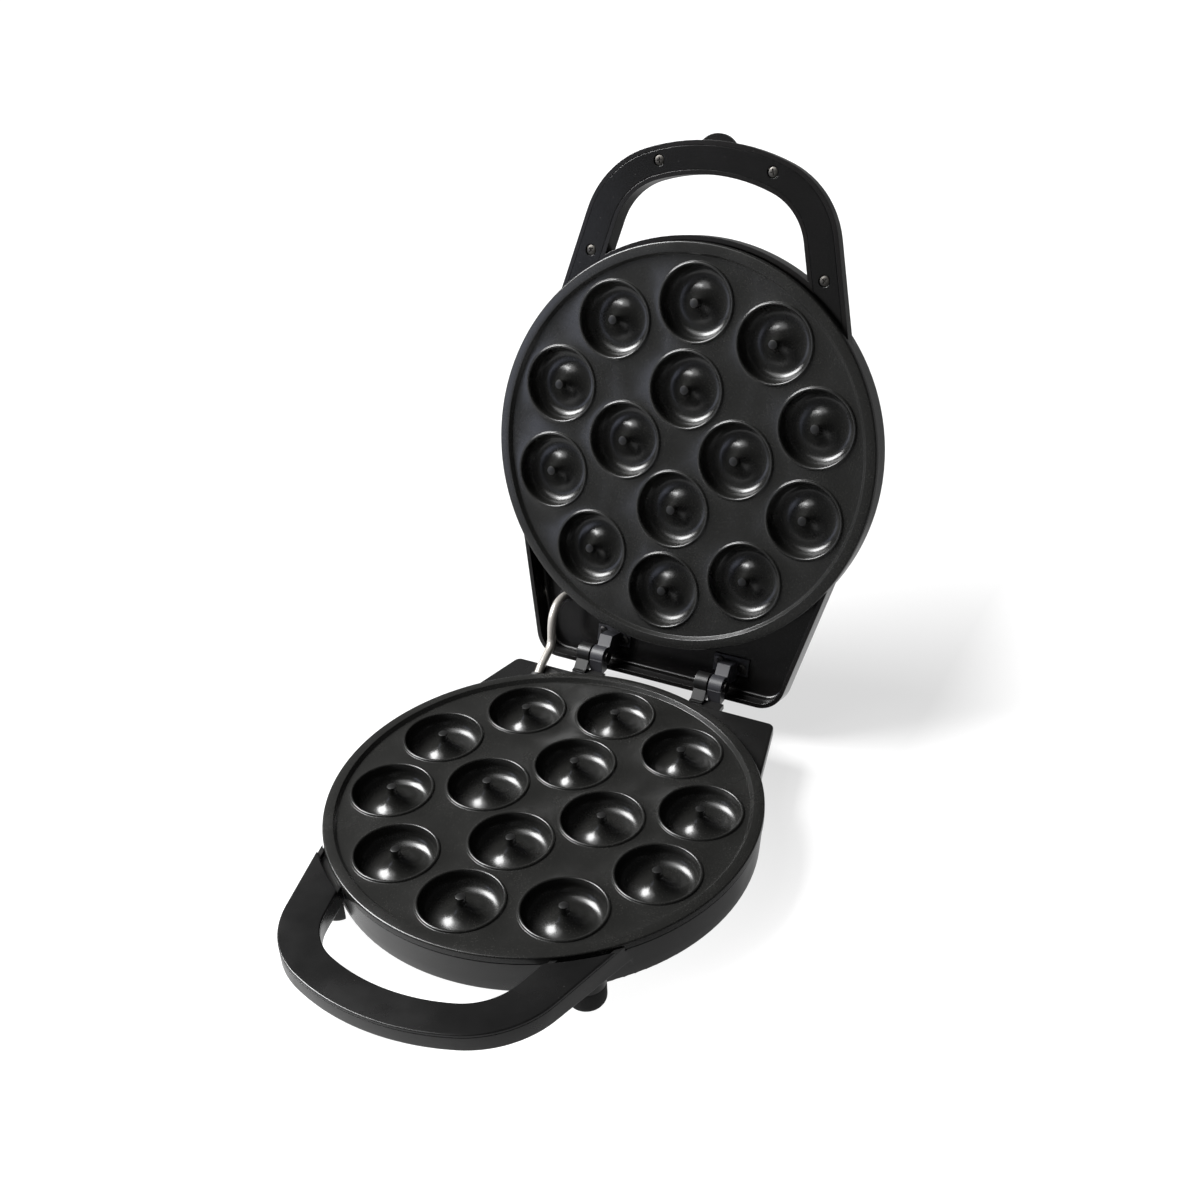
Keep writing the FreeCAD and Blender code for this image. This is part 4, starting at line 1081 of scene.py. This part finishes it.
@dataclass
class RubberFeet:
    """Feet with a grooved tread: tall caps in front, pads at the rear, in millimetres."""

    shop: Workshop
    radius: float = 9.5
    floor: float = 31.0
    wall_r: float = 109.3
    wall_margin: float = 2.0
    front: Point = (68.6, -86.0)
    front_top: float = 18.5
    front_round: float = 4.5
    rear: Point = (54.0, 95.0)
    rear_top: float = 25.0
    rear_round: float = 1.8
    shoulder_round: float = 0.5
    groove_rings: Tuple[float, ...] = (1.3, 2.7, 4.1)
    groove_deep: float = 0.5
    groove_open: float = 0.45
    groove_flat: float = 0.25
    round_steps: int = 7
    shoulder_steps: int = 3
    foot_turns: int = 48
    wall_turns: int = 144
    sharp_degrees: float = 40.0

    def foot(self, name: str, spot: Point, top: float, bend: float, cut: bool) -> bpy.types.Object:
        """Models one foot and hangs it on the base.

        Args:
            name: Name of the solid that it stands for.
            spot: Centre of the foot.
            top: Level where it starts.
            bend: Radius of its tread's edge.
            cut: Whether the round wall cuts into it.

        Returns:
            The foot.
        """
        tread: List[Point] = []
        deep = self.floor - self.groove_deep
        for ring in self.groove_rings:
            tread += [(ring - self.groove_open, self.floor), (ring - self.groove_flat, deep),
                      (ring + self.groove_flat, deep), (ring + self.groove_open, self.floor)]
        side = arc((self.radius - bend, self.floor - bend), bend, 90, 0, self.round_steps)
        shoulder = arc((self.radius - self.shoulder_round, top + self.shoulder_round),
                       self.shoulder_round, 0, -90, self.shoulder_steps)
        outline = [(0.0, self.floor)] + tread + side + shoulder + [(0.0, top)]
        made = lathe(name, outline, self.foot_turns)
        apply_place(made, Matrix.Translation(Vector((-spot[0], spot[1], 0.0)) * MM))
        if cut:
            low, high = top - self.wall_margin, self.floor + self.wall_margin
            wall = lathe("wall", [(0.0, low), (self.wall_r, low), (self.wall_r, high), (0.0, high)],
                         self.wall_turns)
            reshape(made, wall, Shaping.CUT)
        apply_place(made, Half.LOWER.place())
        smooth(made, self.sharp_degrees)
        made.name = made.data.name = name.replace("foot", "rubber_foot")
        return self.shop.settle(made, Body.BASE, FOOT_RUBBER, "rubber", [name])

    def build(self) -> None:
        """Makes all four feet."""
        for side, word in ((-1, "left"), (1, "right")):
            self.foot("foot_front_" + word, (side * self.front[0], self.front[1]),
                      self.front_top, self.front_round, True)
            self.foot("foot_rear_" + word, (side * self.rear[0], self.rear[1]),
                      self.rear_top, self.rear_round, False)


@dataclass
class CordGland:
    """Ribbed rubber bush where a mains cord goes in at the rear, in millimetres along its axis."""

    shop: Workshop
    start: float = 105.5
    seat: float = 109.9
    end: float = 116.0
    end_bevel: float = 0.3
    level: float = 18.8
    bore_r: float = 3.6
    radius: float = 5.2
    flange_r: float = 6.1
    flange_thick: float = 2.0
    flange_bevel: float = 0.4
    ribs: Tuple[float, ...] = (0.8, 2.0, 3.2)
    rib_deep: float = 0.7
    rib_gap: float = 0.4
    rib_slope: float = 0.15
    rib_end: float = 0.55
    turns: int = 48
    sharp_degrees: float = 35.0

    def build(self) -> bpy.types.Object:
        """Models the bush and hangs it on the base.

        Returns:
            The bush.
        """
        flange = self.seat + self.flange_thick
        valley = self.radius - self.rib_deep
        outline = [(self.bore_r, self.start), (self.radius, self.start), (self.radius, self.seat),
                   (self.flange_r, self.seat), (self.flange_r, flange - self.flange_bevel),
                   (self.flange_r - self.flange_bevel, flange)]
        for rib in (flange + offset for offset in self.ribs):
            outline += [(valley, rib - self.rib_gap), (valley, rib),
                        (self.radius, rib + self.rib_slope), (self.radius, rib + self.rib_end)]
        outline += [(self.radius - self.end_bevel, self.end), (self.bore_r + self.end_bevel, self.end),
                    (self.bore_r, self.end - self.end_bevel), (self.bore_r, self.start)]
        made = lathe("ribbed_gland", outline, self.turns)
        lean = Matrix.Rotation(-math.pi / 2, 4, "X")
        apply_place(made, Matrix.Translation(PLATE_TO_ORIGIN + Vector((0.0, 0.0, -self.level)) * MM) @ lean)
        smooth(made, self.sharp_degrees)
        return self.shop.settle(made, Body.BASE, BUSH_RUBBER, "bush_rubber", ["cord_gland"])


@dataclass
class HeatSleeve:
    """Flexible sleeve that carries the lid's wires across the hinge."""

    shop: Workshop
    radius_mm: float = 2.4
    route_mm: Tuple[Spot, ...] = (
        (-59.9, 96.8, -9.6), (-60.5, 102.5, -5.0), (-61.2, 111.4, -2.1), (-62.2, 121.2, 0.6),
        (-62.8, 123.0, 9.8), (-63.5, 126.2, 16.4), (-64.1, 132.0, 20.6), (-64.8, 140.6, 20.9),
        (-65.0, 147.4, 18.9))
    bend_from: int = 2
    bend_to: int = 6
    curve_order: int = 3
    curve_steps: int = 10
    round_steps: int = 6
    sharp_degrees: float = 50.0

    def at(self, index: int) -> Vector:
        """Place of one point of the route."""
        return Vector(self.route_mm[index]) * MM + PLATE_TO_ORIGIN

    def line(self) -> bpy.types.Object:
        """Lays a smooth NURBS line along the route.

        Returns:
            The line, still without thickness.
        """
        curve = bpy.data.curves.new("heat_sleeve", "CURVE")
        curve.dimensions = "3D"
        spline = curve.splines.new("NURBS")
        spline.points.add(len(self.route_mm) - 1)
        for index, point in enumerate(spline.points):
            point.co = (*self.at(index), 1.0)
        spline.order_u = self.curve_order
        spline.use_endpoint_u = True
        spline.resolution_u = self.curve_steps
        obj = bpy.data.objects.new("heat_sleeve", curve)
        bpy.context.scene.collection.objects.link(obj)
        return obj

    def build(self) -> bpy.types.Object:
        """Returns:
            The sleeve.
        """
        line = self.line()
        bpy.context.view_layer.update()
        bare = bpy.data.meshes.new_from_object(line.evaluated_get(bpy.context.evaluated_depsgraph_get()))
        line.data.bevel_depth = self.radius_mm * MM
        line.data.bevel_resolution = self.round_steps
        line.data.use_fill_caps = True
        only(line)
        bpy.ops.object.convert(target="MESH")
        sleeve = bpy.context.object
        close_up(sleeve)
        smooth(sleeve, self.sharp_degrees)
        self.shop.palette.dress(sleeve, HEAT_SLEEVE)
        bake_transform(sleeve)
        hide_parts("sleeve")
        return sleeve


@dataclass
class CarriedNodes:
    """Solids that stay as they are and only get a finish."""

    shop: Workshop

    def dress(self) -> None:
        """Gives each remaining solid its finish."""
        rows = (
            (BUSH_RUBBER, ("base_sleeve_bush", "lid_sleeve_bush")),
            (DARK_ZINC, ("lower_plate_screws", "lower_clamp_screws", "lower_reflector_screw",
                         "upper_plate_screws", "upper_clamp_screws", "upper_reflector_screw",
                         "hinge_pin_left", "hinge_pin_right")),
            (ELEMENT_TUBE, ("lower_element", "upper_element")),
            (ALUMINISED, ("lower_reflector", "upper_reflector", "lower_element_clamps",
                          "upper_element_clamps")),
            (STEATITE, ("thermostat", "thermal_fuse", "terminal_block")),
            (WIRE_SILICONE, ("base_wires", "lid_wires")),
            (RED_LENS, ("power_lens",)),
            (GREEN_LENS, ("ready_lens",)),
            (LAMP_GLASS, ("power_lamp", "ready_lamp")),
        )
        for finish, names in rows:
            for name in names:
                self.shop.palette.dress(self.shop.nodes[name], finish)
                LOG.info("%s is dressed in %s", name, finish.name)


@dataclass(frozen=True)
class SoftBox:
    """One area lamp: its place and size in metres, its power and its light's colour."""

    name: str
    spot_m: Spot
    size_m: Span
    watts: float
    colour: str = WHITE


@dataclass
class Studio:
    """Pale floor, soft light and the camera at the photograph's angle.

    Bands are metres on the floor, or parts of a unit direction in the sky.
    """

    azimuth: float = 29.055
    elevation: float = 32.046
    roll: float = -2.988
    lens: float = 46.71
    sensor_mm: float = 36.0
    nearest_m: float = 0.01
    eye_m: Spot = (0.3256, -0.5517, 0.5272)
    floor_m: float = 14.0
    floor_level_m: float = -0.0003
    floor_colour: str = "#f2f2f2"
    shade_colour: str = "#8c8c8c"
    near_glow: float = 0.67
    glow_band: Span = (0.3, 1.3)
    open_front_band: Span = (-0.12, 0.09)
    open_right_band: Span = (0.14, 0.2)
    mirror_left: float = 1.0
    mirror_front: float = 0.3
    mirror_back: float = 0.9
    mirror_front_band: Span = (-0.03, 0.07)
    mirror_left_band: Span = (-0.02, 0.12)
    mirror_far: float = 0.2
    mirror_far_band: Span = (0.2, 0.45)
    mirror_ahead: float = 0.25
    mirror_ahead_band: Span = (-1.0, -0.3)
    horizon: float = 0.26
    zenith: float = 0.12
    sky_band: Span = (0.0, 0.7)
    sky_sides: Span = (1.15, 0.4)
    sky_sides_band: Span = (-0.55, 0.1)
    target_m: Spot = (0.0, 0.0, 0.1)
    boxes: Tuple[SoftBox, ...] = (
        SoftBox("overhead", (-0.75, -0.45, 1.5), (1.3, 0.9), 12.0),
        SoftBox("window", (-1.25, -0.28, 1.36), (1.0, 0.9), 88.0),
        SoftBox("bounce", (-1.36, -1.31, 0.45), (0.7, 0.7), 3.2, "#dde4ff"))

    def camera(self) -> None:
        """Creates the camera."""
        a, e, r = (math.radians(v) for v in (self.azimuth, self.elevation, self.roll))
        back = Vector((math.sin(a) * math.cos(e), -math.cos(a) * math.cos(e), math.sin(e)))
        right = Vector((math.cos(a), math.sin(a), 0.0))
        up = back.cross(right)
        turned_right = right * math.cos(r) + up * math.sin(r)
        turned_up = up * math.cos(r) - right * math.sin(r)
        data = bpy.data.cameras.new("camera")
        data.lens = self.lens
        data.sensor_width = self.sensor_mm
        data.clip_start = self.nearest_m
        camera = bpy.data.objects.new("camera", data)
        bpy.context.scene.collection.objects.link(camera)
        axes = Matrix((turned_right, turned_up, back)).transposed().to_4x4()
        camera.matrix_world = Matrix.Translation(Vector(self.eye_m)) @ axes
        bpy.context.scene.camera = camera

    def strength(self, tree: bpy.types.NodeTree, working: Working,
                 ramps: Sequence[Ramp]) -> bpy.types.NodeSocket:
        """Works several ramps into one strength.

        Args:
            tree: Tree that gets the nodes.
            working: How the ramps make one.
            ramps: For each ramp the value that it reads, the band of it, and the strengths at the
                band's ends.

        Returns:
            The strength.
        """
        worked: Any = 1.0 if working is Working.PRODUCT else 0.0
        for value, band, ends in ramps:
            ramp = add_node(tree, "ShaderNodeMapRange", inputs={
                "Value": value, "From Min": band[0], "From Max": band[1],
                "To Min": ends[0], "To Max": ends[1]})
            worked = add_node(tree, "ShaderNodeMath", {"operation": working.value}, {
                0: worked, 1: ramp.outputs[0]}).outputs[0]
        return worked

    def seen(self, tree: bpy.types.NodeTree, ray: bpy.types.Node) -> bpy.types.NodeSocket:
        """Whether the camera sees a place, straight or through a lens."""
        return add_node(tree, "ShaderNodeMath", {"operation": "MAXIMUM"}, {
            0: ray.outputs["Is Camera Ray"], 1: ray.outputs["Is Transmission Ray"]}).outputs[0]

    def floor(self) -> None:
        """Lays a pale floor that keeps the shadow, with a dimmer one for what gloss mirrors."""
        bpy.ops.object.select_all(action="DESELECT")
        bpy.ops.mesh.primitive_plane_add(size=self.floor_m, location=(0, 0, self.floor_level_m))
        floor = bpy.context.object
        floor.name = "floor"
        material, tree, output = new_material("pale studio floor")
        ray = add_node(tree, "ShaderNodeLightPath")
        place = add_node(tree, "ShaderNodeTexCoord").outputs["Object"]
        across = add_node(tree, "ShaderNodeSeparateXYZ", inputs={0: place}).outputs
        away = add_node(tree, "ShaderNodeVectorMath", {"operation": "LENGTH"}, {0: place})
        behind = add_node(tree, "ShaderNodeVectorMath", {"operation": "DOT_PRODUCT"}, {
            0: place, 1: (1.0, 1.0, 0.0)})
        bright = self.strength(tree, Working.HIGHEST, (
            (away.outputs["Value"], self.glow_band, (self.near_glow, 1.0)),
            (across["Y"], self.open_front_band, (1.0, self.near_glow)),
            (across["X"], self.open_right_band, (self.near_glow, 1.0))))
        front = self.strength(tree, Working.PRODUCT, (
            (across["Y"], self.mirror_front_band, (self.mirror_front, self.mirror_back)),))
        mirrored = self.strength(tree, Working.PRODUCT, (
            (across["X"], self.mirror_left_band, (self.mirror_left, front)),
            (behind.outputs["Value"], self.mirror_far_band, (1.0, self.mirror_far)),
            (across["Y"], self.mirror_ahead_band, (self.mirror_ahead, 1.0))))
        glow = add_node(tree, "ShaderNodeEmission", inputs={"Strength": bright})
        shade = add_node(tree, "ShaderNodeBsdfDiffuse", inputs={"Color": linear(self.shade_colour)})
        lit = add_node(tree, "ShaderNodeAddShader", inputs={0: shade.outputs[0], 1: glow.outputs[0]})
        matt = add_node(tree, "ShaderNodeBsdfDiffuse", inputs={"Color": linear(self.floor_colour)})
        plain = add_node(tree, "ShaderNodeMixShader", inputs={
            0: self.seen(tree, ray), 1: matt.outputs[0], 2: lit.outputs[0]})
        mirror = add_node(tree, "ShaderNodeEmission", inputs={"Strength": mirrored})
        both = add_node(tree, "ShaderNodeMixShader", inputs={
            0: ray.outputs["Is Glossy Ray"], 1: plain.outputs[0], 2: mirror.outputs[0]})
        tree.links.new(both.outputs[0], output.inputs[0])
        floor.data.materials.append(material)

    def lamp(self, box: SoftBox) -> None:
        """Hangs a soft box that looks at the object.

        Args:
            box: The lamp's place, size, power and colour.
        """
        data = bpy.data.lights.new(box.name, "AREA")
        data.shape = "RECTANGLE"
        data.size, data.size_y = box.size_m
        data.energy = box.watts
        data.color = linear(box.colour)[:3]
        lamp = bpy.data.objects.new(box.name, data)
        bpy.context.scene.collection.objects.link(lamp)
        way = Vector(self.target_m) - Vector(box.spot_m)
        lamp.rotation_euler = way.to_track_quat("-Z", "Y").to_euler()
        lamp.location = box.spot_m

    def light(self) -> None:
        """Sets a surrounding that is white to the camera and dim in gloss, and the soft boxes."""
        world = bpy.data.worlds.new("studio")
        bpy.context.scene.world = world
        world.use_nodes = True
        tree = world.node_tree
        way = add_node(tree, "ShaderNodeTexCoord").outputs["Generated"]
        across = add_node(tree, "ShaderNodeSeparateXYZ", inputs={0: way}).outputs
        level = self.strength(tree, Working.PRODUCT, (
            (across["Z"], self.sky_band, (self.horizon, self.zenith)),
            (across["X"], self.sky_sides_band, self.sky_sides)))
        ray = add_node(tree, "ShaderNodeLightPath")
        shown = add_node(tree, "ShaderNodeMix", {"data_type": "FLOAT"}, {
            0: self.seen(tree, ray), 2: level, 3: 1.0})
        background = tree.nodes["Background"]
        background.inputs["Color"].default_value = linear(WHITE)
        tree.links.new(shown.outputs[0], background.inputs["Strength"])
        for box in self.boxes:
            self.lamp(box)

    def build(self) -> None:
        """Sets up the whole studio."""
        self.camera()
        self.floor()
        self.light()
        bpy.context.scene.view_settings.view_transform = "Standard"


def main() -> None:
    """Builds every sub-assembly in order."""
    logging.basicConfig(level=logging.INFO, format="%(name)s: %(message)s")
    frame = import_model()
    shop = Workshop(frame["nodes"], Palette())
    Studio().build()
    HeatSleeve(shop).build()
    plate = HotPlate(shop)
    plate.build(Half.LOWER, "lower_hot_plate", "lower_plate")
    plate.build(Half.UPPER, "upper_hot_plate", "upper_plate")
    Housing(shop).build()
    Fasteners(shop).build()
    RubberFeet(shop).build()
    CordGland(shop).build()
    CarriedNodes(shop).dress()


if __name__ == "__main__":
    main()
